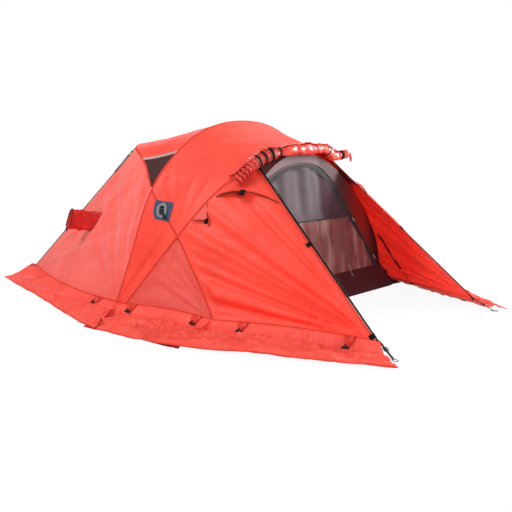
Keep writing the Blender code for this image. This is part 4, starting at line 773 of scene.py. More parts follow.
def circle(radius, sides=10):
    """Profile of a round cord or tube."""
    turn = np.linspace(0.0, 2.0 * math.pi, sides, endpoint=False)
    return np.stack([radius * np.sin(turn), radius * np.cos(turn)], -1)


def band(width, thick):
    """Profile of flat webbing with rounded edges, lying on its underside."""
    w, t = width / 2.0, thick
    return [(-w, t * 0.3), (-w * 0.93, t), (0.0, t), (w * 0.93, t), (w, t * 0.3), (w * 0.95, 0.0),
            (-w * 0.95, 0.0)]


def smooth_path(points, steps=8):
    """Fine path through a few points."""
    return finer(np.asarray(points, float), steps)


def tube(name, path, radius, finish, sides=10, **rides):
    """Round cord or piping along a path."""
    skin(name, carried(path, outward(path), circle(radius, sides)), finish, **rides)


def strap(name, points, width, reference=None, steps=8, thick=0.0016, finish=None, **rides):
    """Flat webbing along a smooth path, its face outwards or to a reference."""
    path = smooth_path(points, steps)
    facing = outward(path) if reference is None else reference
    skin(name, carried(path, facing, band(width, thick)), finish or WEBBING, **rides)


def strip(name, edge, finish, width=0.014, second=None, lift=0.0013, **rides):
    """Sewn band over a seam: it lies on the cloth on both sides, along the directions
    into them. With no second side it is a hem's band, on the first side alone."""
    line, first = edge
    tangent = unit(np.gradient(line, axis=0))

    def normal(inner):
        turned = unit(np.cross(tangent, inner))
        return turned * np.sign(np.sum(turned * outward(line), axis=1, keepdims=True))

    def column(inner, reach):
        return line + inner * reach + normal(inner) * lift

    if second is None:
        columns = [column(first, width), column(first, width / 2.0), column(first, 0.0)]
    else:
        columns = [column(first, width / 2.0), column(first, width / 4.0),
                   line + unit(normal(first) + normal(second)) * lift,
                   column(second, width / 4.0), column(second, width / 2.0)]
    return sheet_piece(name, np.stack(columns, axis=1), 0.0, finish, 0.0009, **rides)


def box(size, taper, centre=(0.0, 0.0, 0.0)):
    """Eight corners of a box whose top is drawn in by a taper, and its six faces."""
    x, y, z = np.asarray(size, float) / 2.0
    corners = [(sx * x * k, sy * y * k, sz * z) for sz, k in ((-1, 1.0), (1, taper))
               for sx, sy in ((-1, -1), (1, -1), (1, 1), (-1, 1))]
    faces = [(3, 2, 1, 0), (4, 5, 6, 7), (0, 1, 5, 4), (1, 2, 6, 5), (2, 3, 7, 6), (3, 0, 4, 7)]
    return np.array(corners) + centre, np.array(faces)


def frame_of(run, normal):
    """Three axes of a hard part: along it, across it and away from what it lies on."""
    return np.array([run, unit(np.cross(normal, run)), normal])


def fitting(name, spot, axes, boxes, finish, edge, **rides):
    """Hard part of bevelled boxes in its own frame: each a size, a taper and a centre."""
    made = [box(*one) for one in boxes]
    points = np.concatenate([corners for corners, faces in made])
    faces = np.concatenate([faces + 8 * number for number, (corners, faces) in enumerate(made)])
    placed = spot + points @ np.asarray(axes, float)
    piece = put_mesh(name, placed, faces.tolist(), finish, None, 30.0, **rides)
    bevel = piece.modifiers.new("edge", "BEVEL")
    bevel.width, bevel.segments, bevel.limit_method = edge, 2, "ANGLE"
    bevel.angle_limit = math.radians(35.0)
    return piece


# Finishes


class Value:
    """A shader socket that Python's own operators work on."""

    def __init__(self, finish, socket):
        self.finish, self.socket = finish, socket

    def maths(how, turned=False):
        """Method that adds a Math node on the value and another, in either order."""
        def worked(self, other=0.5):
            pair = (other, self) if turned else (self, other)
            return self.finish.node("Math", 0, dict(enumerate(pair)), operation=how)
        return worked

    __add__ = __radd__ = maths("ADD")
    __mul__ = __rmul__ = maths("MULTIPLY")
    __sub__ = maths("SUBTRACT")
    __rsub__ = maths("SUBTRACT", True)
    __lt__ = maths("LESS_THAN")
    size = maths("ABSOLUTE")
    fraction = maths("FRACT")

    def part_of(self, pitch):
        """Share of a pitch that the value lies past its last whole multiple."""
        return (self * (1.0 / pitch)).fraction()

    def ramp(self, low, high, to_low=0.0, to_high=1.0):
        """Straight change between two values, held outside them."""
        return self.finish.node("MapRange", 0, {0: self, 1: low, 2: high, 3: to_low, 4: to_high})


class Finish:
    """A procedural material, the nodes that it is made from and its pieces' usual slot."""

    def __init__(self, name, slot=None):
        self.material = bpy.data.materials.new(name)
        self.material.use_nodes = True
        self.tree = self.material.node_tree
        self.shader = self.tree.nodes["Principled BSDF"]
        self.place, self.cloth = self.node("TexCoord", "Object"), self.node("TexCoord", "UV")
        SLOTS[self.material.name] = slot

    def put(self, socket, value):
        """Set a socket's value, or link a Value to it."""
        if isinstance(value, Value):
            self.tree.links.new(value.socket, socket)
        else:
            socket.default_value = (*value[:3], 1.0) if socket.type == "RGBA" else value

    def node(self, kind, output=0, sockets=None, **settings):
        """Add a node, make its settings, set or link its sockets, and give an output."""
        made = self.tree.nodes.new("ShaderNode" + kind)
        for key, value in settings.items():
            setattr(made, key, value)
        for key, value in (sockets or {}).items():
            self.put(made.inputs[key], value)
        return Value(self, made.outputs[output])

    def noise(self, scale, detail=2.0, rough=0.5, distortion=0.0, where=None):
        return self.node("TexNoise", 0, {"Vector": where or self.place, "Scale": scale, "Detail": detail,
                                         "Roughness": rough, "Distortion": distortion})

    def ribs(self, direction, scale, distortion):
        return self.node("TexWave", "Fac", {"Vector": self.cloth, "Scale": scale, "Distortion": distortion},
                         wave_type="BANDS", bands_direction=direction)

    def blend(self, share, first, second):
        return self.node("Mix", 2, {0: share, 6: first, 7: second}, data_type="RGBA")

    def along(self):
        """The two lengths in metres of a piece's own cloth."""
        return [self.node("SeparateXYZ", axis, {0: self.cloth}) for axis in (0, 1)]

    def to_far(self):
        """How far towards the far side a place is."""
        return self.node("SeparateXYZ", 1, {0: self.place})

    def cells(self, pitch, share):
        """Grid of threads: one near whole multiples of a pitch either way."""
        u, v = self.along()
        return ((u.part_of(pitch) < share) + (v.part_of(pitch) < share)).ramp(0.0, 1.0)

    def bump(self, height, strength, distance, under=None):
        sockets = {"Height": height, "Strength": strength, "Distance": distance}
        return self.node("Bump", 0, sockets if under is None else {**sockets, "Normal": under})

    def set(self, **sockets):
        """Set or link sockets of the shader by name, and give the material."""
        for key, value in sockets.items():
            self.put(self.shader.inputs[key.replace("_", " ")], value)
        return self.material

    def mix_in(self, share, other):
        """Mix another shader into the surface by a share."""
        mixed = self.node("MixShader", 0, {0: share, 1: Value(self, self.shader.outputs[0]), 2: other})
        self.tree.links.new(mixed.socket, self.tree.nodes["Material Output"].inputs["Surface"])

    def shine_through(self, share, colour):
        """Let a share of the light through the cloth, scattered."""
        if share:
            self.mix_in(share, self.node("BsdfTranslucent", 0, {"Color": colour}))


def darker(colour, share):
    """A colour scaled down."""
    return tuple(part * share for part in colour)


def fabric(name, slot, colour, deep, roughness=0.50, through=0.25, crumple=0.30, sheen=0.10, glow=None,
           painted_shade_round=None, streaks=None):
    """Coated ripstop cloth: a grid of thicker threads, a fine weave, soft patches of
    lighter and deeper colour, and small creases. Round a given place it has a painted shadow, deeper red."""
    made = Finish(name, slot)
    thread, weave = made.cells(0.0052, 0.12), made.ribs("DIAGONAL", 420.0, 0.4)
    patches, spots = made.noise(3.2, 3.0), made.noise(28.0, 3.0)
    base = made.blend((patches * 0.7 + spots * 0.3).ramp(0.36, 0.64), deep, colour)
    base = made.blend(thread * 0.12, base, darker(deep, 0.3))
    if streaks:
        hung = made.node("Mapping", 0, {"Vector": made.place, "Scale": (1.0, 1.0, 0.10)})
        base = made.blend(made.noise(13.0, where=hung).ramp(0.50, 0.66, 0.0, 0.8), base, streaks)
    # Painted shadow: deeper red painted round a place, the shade beside the snorkel's root.
    if painted_shade_round:
        away = made.node("VectorMath", "Value", {0: made.place, 1: painted_shade_round}, operation="DISTANCE")
        base = made.blend((away + spots * 0.03).ramp(0.06, 0.17, 0.85, 0.0), base, (0.86, 0.030, 0.018))
    normal = made.bump(made.noise(7.0, 5.0, 0.62, 0.9), crumple, 0.012)
    normal = made.bump(made.noise(34.0, 4.0, 0.6, 0.5), crumple * 0.6, 0.003, normal)
    normal = made.bump(thread * 0.5 + weave * 0.25, 0.30, 0.0003, normal)
    made.shine_through(through, glow or colour)
    return made.set(Base_Color=base, Roughness=spots * 0.16 + (roughness - 0.08), Normal=normal,
                    Sheen_Weight=sheen, Sheen_Roughness=0.45, Specular_IOR_Level=0.32)


def stitched(name, slot, colour, rows, thread, roughness=0.55, through=0.0):
    """Sewn band: rows of stitches at distances across it, over a ribbed weave."""
    made = Finish(name, slot)
    u, v = made.along()
    base = made.blend(made.noise(14.0, 3.0), darker(colour, 0.78), colour)
    normal = made.bump(made.ribs("X", 260.0, 0.3), 0.35, 0.0004)
    for place in rows:
        line = ((v - place).size() < 0.0007) * (u.part_of(0.0042) < 0.66)
        base = made.blend(line, base, thread)
        normal = made.bump(line, 0.7, 0.0006, normal)
    made.shine_through(through, colour)
    return made.set(Base_Color=base, Roughness=made.noise(40.0) * 0.12 + (roughness - 0.06), Normal=normal,
                    Specular_IOR_Level=0.06)


def netting(name, slot, colour, share, far=None):
    """Insect mesh: partly clear cloth with fine cells, with a painted shadow that makes it deeper towards the
    far side.
    """
    made = Finish(name, slot)
    cell = made.cells(0.0024, 0.34)
    base = made.blend(made.noise(9.0, 3.0), darker(colour, 0.7), colour)
    # Painted shadow: the mesh is painted deeper beyond y 0.12, where the roll and brow shade it.
    if far:
        base = made.blend(made.to_far().ramp(0.12, 0.18), base, far)
    return made.set(Base_Color=base, Roughness=0.75, Alpha=cell * 0.12 + share, Specular_IOR_Level=0.1,
                    Normal=made.bump(cell, 0.4, 0.0004))


def metal(name, slot, colour, roughness, metallic=1.0):
    """Metal with fine drawn lines, light wear and soft spots."""
    made = Finish(name, slot)
    lines, wear = made.noise(180.0), made.noise(22.0, 4.0).ramp(0.55, 0.72)
    worn = tuple(min(1.0, part * 1.5 + 0.1) for part in colour)
    return made.set(Base_Color=made.blend(wear * 0.45, colour, worn), Metallic=metallic,
                    Roughness=lines * 0.18 + (roughness - 0.09) + wear * 0.10,
                    Normal=made.bump(lines, 0.12, 0.0003))


def braid(name, slot, colour, fleck):
    """Braided cord: crossing strands with flecks of a second colour."""
    made = Finish(name, slot)
    u, v = made.along()
    strands = ((u + v * 0.8).part_of(0.0042) < 0.5) * ((u - v * 0.8).part_of(0.0042) < 0.5)
    base = made.blend(strands, darker(colour, 0.7), colour)
    return made.set(Base_Color=made.blend((u - v * 0.8).part_of(0.021) < 0.16, base, fleck),
                    Roughness=made.noise(60.0) * 0.1 + 0.75, Normal=made.bump(strands, 0.5, 0.0005))


def moulded(name, slot, colour, roughness=0.42):
    """Moulded plastic: fine grain and slightly scuffed."""
    made = Finish(name, slot)
    scuff = made.noise(60.0, 4.0).ramp(0.52, 0.75)
    return made.set(Base_Color=made.blend(scuff * 0.3, colour, tuple(part + 0.05 for part in colour)),
                    Roughness=scuff * 0.2 + roughness, Specular_IOR_Level=0.3,
                    Normal=made.bump(made.noise(900.0), 0.10, 0.0002))


def rolled_fabric():
    """Coated side of the rolled door, glossy, with painted shade that makes it darker down in its pleats."""
    made = Finish("rolled_cloth", "fly_fabric")
    u = made.along()[0]
    pleat = (u.part_of(ROLL_PLEAT) - 0.5).size().ramp(0.06, 0.34, 0.30, 1.0)
    bunched = u.ramp(0.34 * ROLL_RUN, 0.37 * ROLL_RUN, 1.0, 0.0)
    tone = made.noise(9.0, 4.0, 0.6, 0.6).ramp(0.38, 0.62)
    base = made.blend(tone, (0.56, 0.022, 0.014), (0.94, 0.070, 0.044))
    # Painted shade: near black in the pleats' valleys of the bunched near part, at the same pitch as the
    # pleats' shape.
    base = made.blend(pleat * bunched + (1.0 - bunched), (0.10, 0.006, 0.005), base)
    return made.set(Base_Color=base, Roughness=tone * -0.12 + 0.42,
                    Normal=made.bump(made.noise(4.6, 1.6, 0.5, 1.6), 0.9, 0.030))


def shaded_wall():
    """Inner wall's cloth with painted light and shade towards the far side, under the closed fly: a painted
    shadow of the roll and brow, painted red light that comes through the fly, and painted deep shade at its
    far edge.
    """
    made = Finish("inner_wall_painted_light", "inner_fabric")
    far = made.to_far()
    # Painted shadow of the roll and brow, from y 0.13 on.
    base = made.blend(far.ramp(0.13, 0.18), (0.20, 0.118, 0.118), (0.085, 0.026, 0.026))
    # Painted red light, as it comes through the fly.
    base = made.blend(far.ramp(0.38, 0.58), base, (0.30, 0.016, 0.012))
    # Painted deep shade in the gap between the wall and the fly.
    base = made.blend(far.ramp(0.62, 0.74), base, (0.020, 0.006, 0.006))
    made.shine_through(0.15, (0.45, 0.12, 0.10))
    return made.set(Base_Color=base, Roughness=made.noise(28.0) * 0.1 + 0.65,
                    Normal=made.bump(made.noise(9.0, 4.0, 0.6, 0.6), 0.5, 0.010))


FLY = fabric("fly_cloth", "fly_fabric", (0.98, 0.092, 0.054), (0.93, 0.060, 0.034), through=0.26, sheen=0.06)
# Rear panels' cloth: the fly's cloth with a paler colour and more sheen, a painted haze of pale light; it
# also has painted shade round the snorkel's root.
FLY_REAR_PAINTED_HAZE = fabric("fly_rear_painted_haze", "fly_fabric", (0.95, 0.135, 0.098), (0.90, 0.085, 0.060), through=0.24,
                  sheen=0.45, painted_shade_round=(-0.96, -0.86, 0.50))
# Side triangles' and gussets' cloth: the fly's cloth painted darker, a painted shade copy of it.
FLY_SIDE_PAINTED_SHADE = fabric("fly_side_painted_shade", "fly_fabric", (0.76, 0.082, 0.060), (0.66, 0.062, 0.046), 0.55, 0.12,
                  0.40)
SKIRT = fabric("skirt_cloth", "skirt_fabric", (0.92, 0.085, 0.054), (0.78, 0.048, 0.030), crumple=0.8,
               through=0.06)
ROLL = rolled_fabric()
INNER = fabric("inner_cloth", "inner_fabric", (0.30, 0.165, 0.16), (0.29, 0.155, 0.155), 0.7, 0.25, 0.5, 0.3,
               (0.45, 0.16, 0.14))
DOOR = fabric("inner_door_cloth", "inner_fabric", (0.34, 0.115, 0.110), (0.22, 0.060, 0.056), 0.7, 0.25,
              0.5, 0.2, (0.45, 0.16, 0.14), streaks=(0.52, 0.30, 0.27))
WALL = shaded_wall()
TUB = fabric("tub_cloth", "floor_fabric", (0.050, 0.0085, 0.016), (0.035, 0.006, 0.011), 0.5, 0.0, 0.45)
PATCH = fabric("patch_cloth", "patch_fabric", (0.026, 0.066, 0.140), (0.020, 0.050, 0.110), 0.6, 0.0, 0.5)
SNORKEL = fabric("snorkel_cloth", "fly_fabric", (0.90, 0.016, 0.010), (0.36, 0.007, 0.005), 0.42, 0.12,
                 1.8, 0.0)
SEAM = stitched("seam_tape", "fly_fabric", (0.80, 0.056, 0.034), (0.0035, 0.0105), (0.58, 0.038, 0.026),
                through=0.15)
HEM = stitched("hem_band", "fly_fabric", (0.84, 0.066, 0.040), (0.003, 0.011), (0.60, 0.040, 0.026),
               through=0.15)
WEBBING = stitched("webbing", "webbing", (0.008, 0.006, 0.006), (0.003, 0.017), (0.05, 0.05, 0.05), 0.7)
ZIP_TAPE = stitched("zip_tape", "webbing", (0.008, 0.005, 0.005), (0.004, 0.0205), (0.05, 0.05, 0.05), 0.75)
BINDING = stitched("grey_binding", "webbing", (0.050, 0.046, 0.048), (0.0035, 0.0085), (0.12, 0.11, 0.11),
                   0.7)
PALE_BAND = stitched("pale_band", "mesh_fabric", (0.46, 0.30, 0.28), (0.004, 0.012), (0.40, 0.36, 0.35))
COIL = moulded("zip_coil", "webbing", (0.016, 0.016, 0.018), 0.35)
PLASTIC = moulded("black_plastic", "zip_metal", (0.008, 0.007, 0.007))
PIPING = moulded("dark_piping", "fly_fabric", (0.10, 0.012, 0.010), 0.6)
# Inner door's mesh, its far colour a painted shadow.
NET = netting("mesh_net_and_shade", "mesh_fabric", (0.170, 0.142, 0.156), 0.76, (0.095, 0.050, 0.065))
WINDOW_NET = netting("window_net", "mesh_fabric", (0.070, 0.026, 0.026), 0.86)
# Vent net under the hood, coloured deep red: partly the net, partly painted shade under the lip.
HOOD_NET_AND_SHADE = netting("hood_net_and_shade", "mesh_fabric", (0.50, 0.030, 0.020), 0.95)
ALLOY = metal("gold_alloy", "pole_alloy", (0.72, 0.52, 0.22), 0.34)
STEEL = metal("tip_steel", "elastic_cord", (0.20, 0.20, 0.21), 0.40)
ZIP_METAL = metal("zip_metal", "zip_metal", (0.06, 0.06, 0.065), 0.36, 0.85)
CORD = braid("guy_cord", "guy_cord", (0.36, 0.34, 0.28), (0.62, 0.60, 0.55))
ELASTIC = braid("black_elastic", "webbing", (0.010, 0.010, 0.010), (0.03, 0.03, 0.03))


# Guylines


def patch_cloth(side, across, up):
    """Square patch on both panels beside the long pole's seam, turned a little. Flat
    offsets become places on a panel by its slopes beside the seam."""
    line = np.linspace(-0.5, 0.5, 33) * PATCH_SIZE
    a, b = np.meshgrid(line, line, indexing="ij")
    cos, sin = math.cos(PATCH_TURN), math.sin(-side * PATCH_TURN)
    flat = np.stack([a * cos - b * sin, a * sin + b * cos], axis=-1)

    def on_panel(panel, v, into):
        here = sampled(panel, PATCH_PLACE, v)
        run = (sampled(panel, PATCH_PLACE + abs(into), v) - here) / abs(into)
        fall = (sampled(panel, PATCH_PLACE, v + into) - here) / into
        slopes = np.array([[run @ across, fall @ across], [run @ up, fall @ up]])
        places = flat @ np.linalg.inv(slopes).T
        return places[..., 1:], sampled(panel, PATCH_PLACE + places[..., 0], v + places[..., 1])

    height, under = on_panel(PANELS[side]["gore"], 1.0, -0.02)
    return np.where(height > 0.0, on_panel(mirrored(ROOF_HALF, side), 0.0, 0.02)[1], under)


def add_guyline(side, word):
    """Blue patch across the seam, with the guyline wound into a hank on its keeper."""
    centre, across, up, normal = patch_frame(side)
    grid = patch_cloth(side, across, up)
    relief = soft(grid, 0.0006, 0.05, 5, 0.01)
    grid = grid + normals_of(grid) * (CLOTH / 2.0 + PATCH_SEAT[side] + PATCH_LIFT)
    cloth_piece("guy_patch_cloth_" + word, grid, relief, PATCH, ["fly_gore_" + word, "fly_roof_front"],
                "laid", replaces="guy_patch_" + word)
    for number, share in enumerate((-0.018, 0.0, 0.018)):
        loop = [centre + across * x + up * share + normal * z for x, z in
                ((-0.022, 0.0035), (-0.012, 0.0058), (0.0, 0.0062), (0.012, 0.0058), (0.022, 0.0035))]
        strap(f"hank_keeper_{number}_{word}", loop, 0.008, normal, 4, 0.0011)
    path = hank_path(side)
    cord = skin("guyline_" + word, carried(path, normal, circle(GUY_CORD_D / 2.0)), CORD,
                replaces="guyline_hank_" + word)
    tensioner = fitting("guy_tensioner_" + word, centre - up * 0.030 - across * 0.018 + normal * 0.0145,
                        frame_of(unit(up * 0.85 + across * 0.50), normal),
                        [((0.052, 0.017, 0.007), 0.7), ((0.008, 0.022, 0.004), 0.8, (0.016, 0.0, 0.004)),
                         ((0.008, 0.022, 0.004), 0.8, (-0.016, 0.0, 0.004))], PLASTIC, 0.0006)
    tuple(path[0])
    float(run_of(path)[-1])


# Flysheet

FINE = {side: {place: finer(zip_room(grid) if place in SLIDER_SHARE else grid)
               for place, grid in PANELS[side].items()} for side in (NEAR, FAR)}
WINDOW = REAR_HALF[:, -WINDOW_ROWS - 1:]
ROOF_FRONT = finer(over_the_top(ROOF_HALF), 14, ROOF_STEPS)
ROOF_REAR = finer(over_the_top(REAR_HALF[:, -WINDOW_ROWS - 1::-1]), 14, 12)
ROOF_REAR_WHOLE = finer(over_the_top(REAR_HALF[:, ::-1]), 14, ROOF_STEPS)
REAR_DOOR = finer(zip_room(DOOR_PANEL, True), ROOF_STEPS, 14)


def fly(place, word, grid, seed, fans, depths=(), finish=FLY):
    """Panel of the flysheet and its relief. The depths are its swell's and its creases'."""
    cloth_piece(f"{place}_cloth{word}", grid, tension(grid, seed, fans, *depths), finish,
                replaces=f"fly_{place}{word}")


def add_fly():
    """All panels of the flysheet, with folds that fan out from pegs, feet and crossings."""
    fly("roof_front", "", ROOF_FRONT, 11, [
        (mirrored(LONG_BETWEEN[end], side), (0.0, 0.0, 1.15), 0.28, 14.0, 0.0016)
        for end in (0, -1) for side in (NEAR, FAR)])
    fly("roof_rear", "", ROOF_REAR, 12, [
        (mirrored(LONG_TO_SHOULDER[-1], side), HOOP_UP[-1], 0.3, 13.0, 0.0010) for side in (NEAR, FAR)])
    fly("rear_door", "", REAR_DOOR, 13, [
        (mirrored(REAR_PEG, side), LONG_TO_TOP[-1], 0.38, 15.0, 0.0018) for side in (NEAR, FAR)], [0.0045])
    for side, word in SIDES:
        fine, hems, peg = FINE[side], HEMS[side], FRONT_PEG[side]
        back, hoop_foot, brow_foot, long_foot, mid_brow, low, high, zip_top, shoulder = mirrored(
            [REAR_PEG, HOOP_LOW[0], BROW_LOW[0], LONG_LOW[0], BROW_LOW[3], BROW_LOW[-1], LONG_BETWEEN[-1],
             BROW_TO_ZIP[-1], LONG_TO_SHOULDER[-1]], side)
        fly("front", "_" + word, fine["front"], 21, [
            (peg, low, 0.74, 32.0, 0.0125, 0.50), (long_foot, zip_top, 0.35, 14.0, 0.0012),
            (zip_top, hems["front"][2], 0.30, 12.0, 0.0010), (low, peg, 0.32, 13.0, 0.0016)], [0.0026])
        fly("rear", "_" + word, fine["rear"], 31, [
            (back, high, 0.60, 26.0, 0.0050), (hoop_foot, shoulder, 0.45, 18.0, 0.0030),
            (shoulder, hoop_foot, 0.30, 11.0, 0.0010)], [0.0032, 0.0006], FLY_REAR_PAINTED_HAZE)
        fly("gore", "_" + word, fine["gore"], 41, [
            (high, brow_foot, 0.25, 12.0, 0.0016), (hoop_foot, low, 0.30, 14.0, 0.0018)], [0.0016])
        fly("side", "_" + word, fine["side"], 51, [
            (low, hems["side"][3], 0.16, 12.0, 0.0012), (long_foot, mid_brow, 0.28, 16.0, 0.0022)],
            [0.0026, 0.0005], FLY_SIDE_PAINTED_SHADE)
        net = finer(mirrored(WINDOW, side))
        cloth_piece("window_net_" + word, net, soft(net, 0.0012, 0.09, 61, 0.04), WINDOW_NET, ["long_pole"],
                    replaces="vent_window_" + word)


def below_roof(place, between):
    """Directions down from a roof's edge: into the far panel beside it, then those
    between the side panels, and into the near one."""
    far, near = [border(finer(PANELS[side][place], ROOF_STEPS), "v1")[1] for side in (FAR, NEAR)]
    return np.concatenate([far, between, near[::-1]])


def add_seams():
    """Sewn bands over the seams, and hem bands along the lower edges."""
    brow, top = border(ROOF_FRONT, "u1"), border(ROOF_REAR_WHOLE, "u1")
    door = border(finer(DOOR_PANEL, ROOF_STEPS), "v1")
    zipped = ROOF_STEPS * (len(BROW_TO_ZIP) - 1) + 1
    strip("seam_hoop_top", border(ROOF_FRONT, "u0"), SEAM, second=border(ROOF_REAR_WHOLE, "u0")[1])
    strip("seam_brow", brow, SEAM, second=below_roof("front", -brow[1][zipped:-zipped]))
    strip("seam_rear_top", top, SEAM, second=below_roof("rear", door[1][1:-1]))
    for name, grid in (("front", ROOF_FRONT), ("rear", ROOF_REAR_WHOLE)):
        middle = grid.shape[1] // 2
        line = grid[:, middle]
        strip("seam_ridge_" + name, (line, unit(grid[:, middle + 1] - line)), SEAM,
              second=unit(grid[:, middle - 1] - line))
    for side, word in SIDES:
        front, rear, gore, panel = [FINE[side][place] for place in ("front", "rear", "gore", "side")]
        for name, first, second in (
                ("hoop", border(gore, "u0"), border(rear, "u0")),
                ("arch", border(gore, "u1"), border(panel, "u0")),
                ("long", border(front, "u0"), border(panel, "u1")),
                ("cross", border(gore, "v1"), border(finer(mirrored(ROOF_HALF, side)), "v0"))):
            strip(f"seam_{name}_{word}", first, SEAM, second=second[1])
        for place in ("front", "rear", "side", "gore"):
            strip(f"hem_{place}_{word}", border(FINE[side][place], "v0"), HEM)
        net = finer(mirrored(WINDOW, side))
        strip("window_band_" + word, border(net, "v0"), PALE_BAND, 0.026, lift=0.0016)
        strip("window_side_" + word, border(net, "u0"), SEAM, 0.010, lift=0.0016)
    strip("hem_rear_door", border(REAR_DOOR, "v0"), HEM)


# Zips


def teeth(name, line, across, normal):
    """Zip coil: rounded teeth set across a line at an even pitch."""
    run = run_of(line)
    places = np.arange(0.004, run[-1] - 0.004, COIL_PITCH)

    def at(values):
        return np.stack([np.interp(places, run, column) for column in values.T], axis=1)

    y, z = unit(at(across)), unit(at(normal))
    corners, faces = box((COIL_PITCH * 0.62, 0.0052, 0.0024), 0.72)
    axes = np.stack([unit(np.cross(y, z)), y, z], axis=1)
    points = at(line)[:, None] + np.einsum("pk,nkc->npc", corners, axes)
    faces = faces + 8 * np.arange(len(places))[:, None, None]
    put_mesh(name, points.reshape(-1, 3), faces.reshape(-1, 4).tolist(), COIL, sharp=30.0)


def zip_slider(name, spot, run, normal, body, node, cord=ELASTIC, thick=0.0011):
    """Slider: two plates with a waist between them, a bridge, and a pull with its loop."""
    axes = frame_of(run, normal)
    fitting(name, spot + normal * 0.0024, axes,
            [((0.020, 0.0105, 0.0018), 0.92, (0.0, 0.0, 0.0005)),
             ((0.014, 0.004, 0.0024), 0.8, (0.0, 0.0, 0.0026)),
             ((0.015, 0.0042, 0.0014), 0.8, (-0.001, 0.0, 0.0046)),
             ((0.003, 0.0042, 0.0030), 0.9, (0.006, 0.0, 0.0036))],
            ZIP_METAL, 0.0005, body=body, replaces=node)
    pull = spot + normal * 0.0068
    fitting(name + "_pull", pull - run * 0.016, axes,
            [((0.022, 0.0062, 0.0014), 0.9), ((0.008, 0.0082, 0.0018), 0.9, (-0.010, 0.0, 0.0))],
            ZIP_METAL, 0.0004, body=body)
    loop = [pull - run * back + axes[1] * aside for back, aside in
            ((0.029, 0.0), (0.041, 0.0035), (0.059, 0.002), (0.067, 0.0), (0.059, -0.002),
             (0.041, -0.0035), (0.029, 0.0))]
    skin(name + "_loop", carried(smooth_path(loop, 5), normal, circle(thick, 8)), cord,
         slot="webbing", body=body)


def add_zips():
    """Zip tapes, coils and sliders of the front porch and the rear door."""
    door = {FAR: DOOR_PANEL[1] - DOOR_PANEL[0], NEAR: DOOR_PANEL[-2] - DOOR_PANEL[-1]}
    for side, word in SIDES:
        for place, other, width in (("front", None, 0.011), ("rear", door[side], 0.024)):
            grid = PANELS[side][place]
            line, inner = border(finer(grid), "u1")
            second = None if other is None else unit(finer(other))
            across = inner + inner if second is None else inner - second
            strip(f"zip_tape_{place}_{word}", (line, inner), ZIP_TAPE, width, second, -0.0003,
                  replaces=f"{place}_zip_{word}")
            normal = unit(np.cross(unit(np.gradient(line, axis=0)), across))
            normal = normal * np.sign(np.sum(normal * outward(line), axis=1, keepdims=True))
            teeth(f"zip_coil_{place}_{word}", line + normal * 0.0012, across, normal)
            zip_slider(f"slider_{place}_{word}", *zip_frame(grid, SLIDER_SHARE[place], other),
                       f"{place}_slider_{word}", f"{place}_zip_slider_{word}")
        strip("front_edge_" + word, border(FINE[side]["front"], "u1"), HEM, 0.016, lift=0.0012)
        line, inner = border(finer(PANELS[side]["rear"]), "u1")
        count = len(line) - 1
        pull = [line[int(share * count)] + outward(line[count]) * lift + inner[int(share * count)] * 0.012
                for share, lift in ((0.945, 0.006), (0.91, 0.010), (0.87, 0.009), (0.83, 0.006))]
        strap("rear_zip_strap_" + word, pull, 0.022)


# Inner tent


def add_walls():
    """Front wall, canopy and rear wall of the inner tent."""
    wall, canopy, rear = wall_grid(), finer(canopy_grid(), 10), finer(inner_rear_grid(), 8)
    cloth_piece("front_wall_cloth", wall, puckers(wall, 0.03, 0.0012, 0.02, 71), WALL,
                ["inner_canopy", "floor_tub"], "hung", replaces="inner_front_wall")
    cloth_piece("canopy_cloth", canopy, soft(canopy, 0.004, 0.35, 72, 0.12), INNER,
                ["hoop_pole", "long_pole"], "hung", replaces="inner_canopy")
    cloth_piece("rear_wall_cloth", rear, soft(rear, 0.003, 0.3, 73, 0.1), INNER,
                ["canopy_cloth"], "hung", replaces="inner_rear_wall")


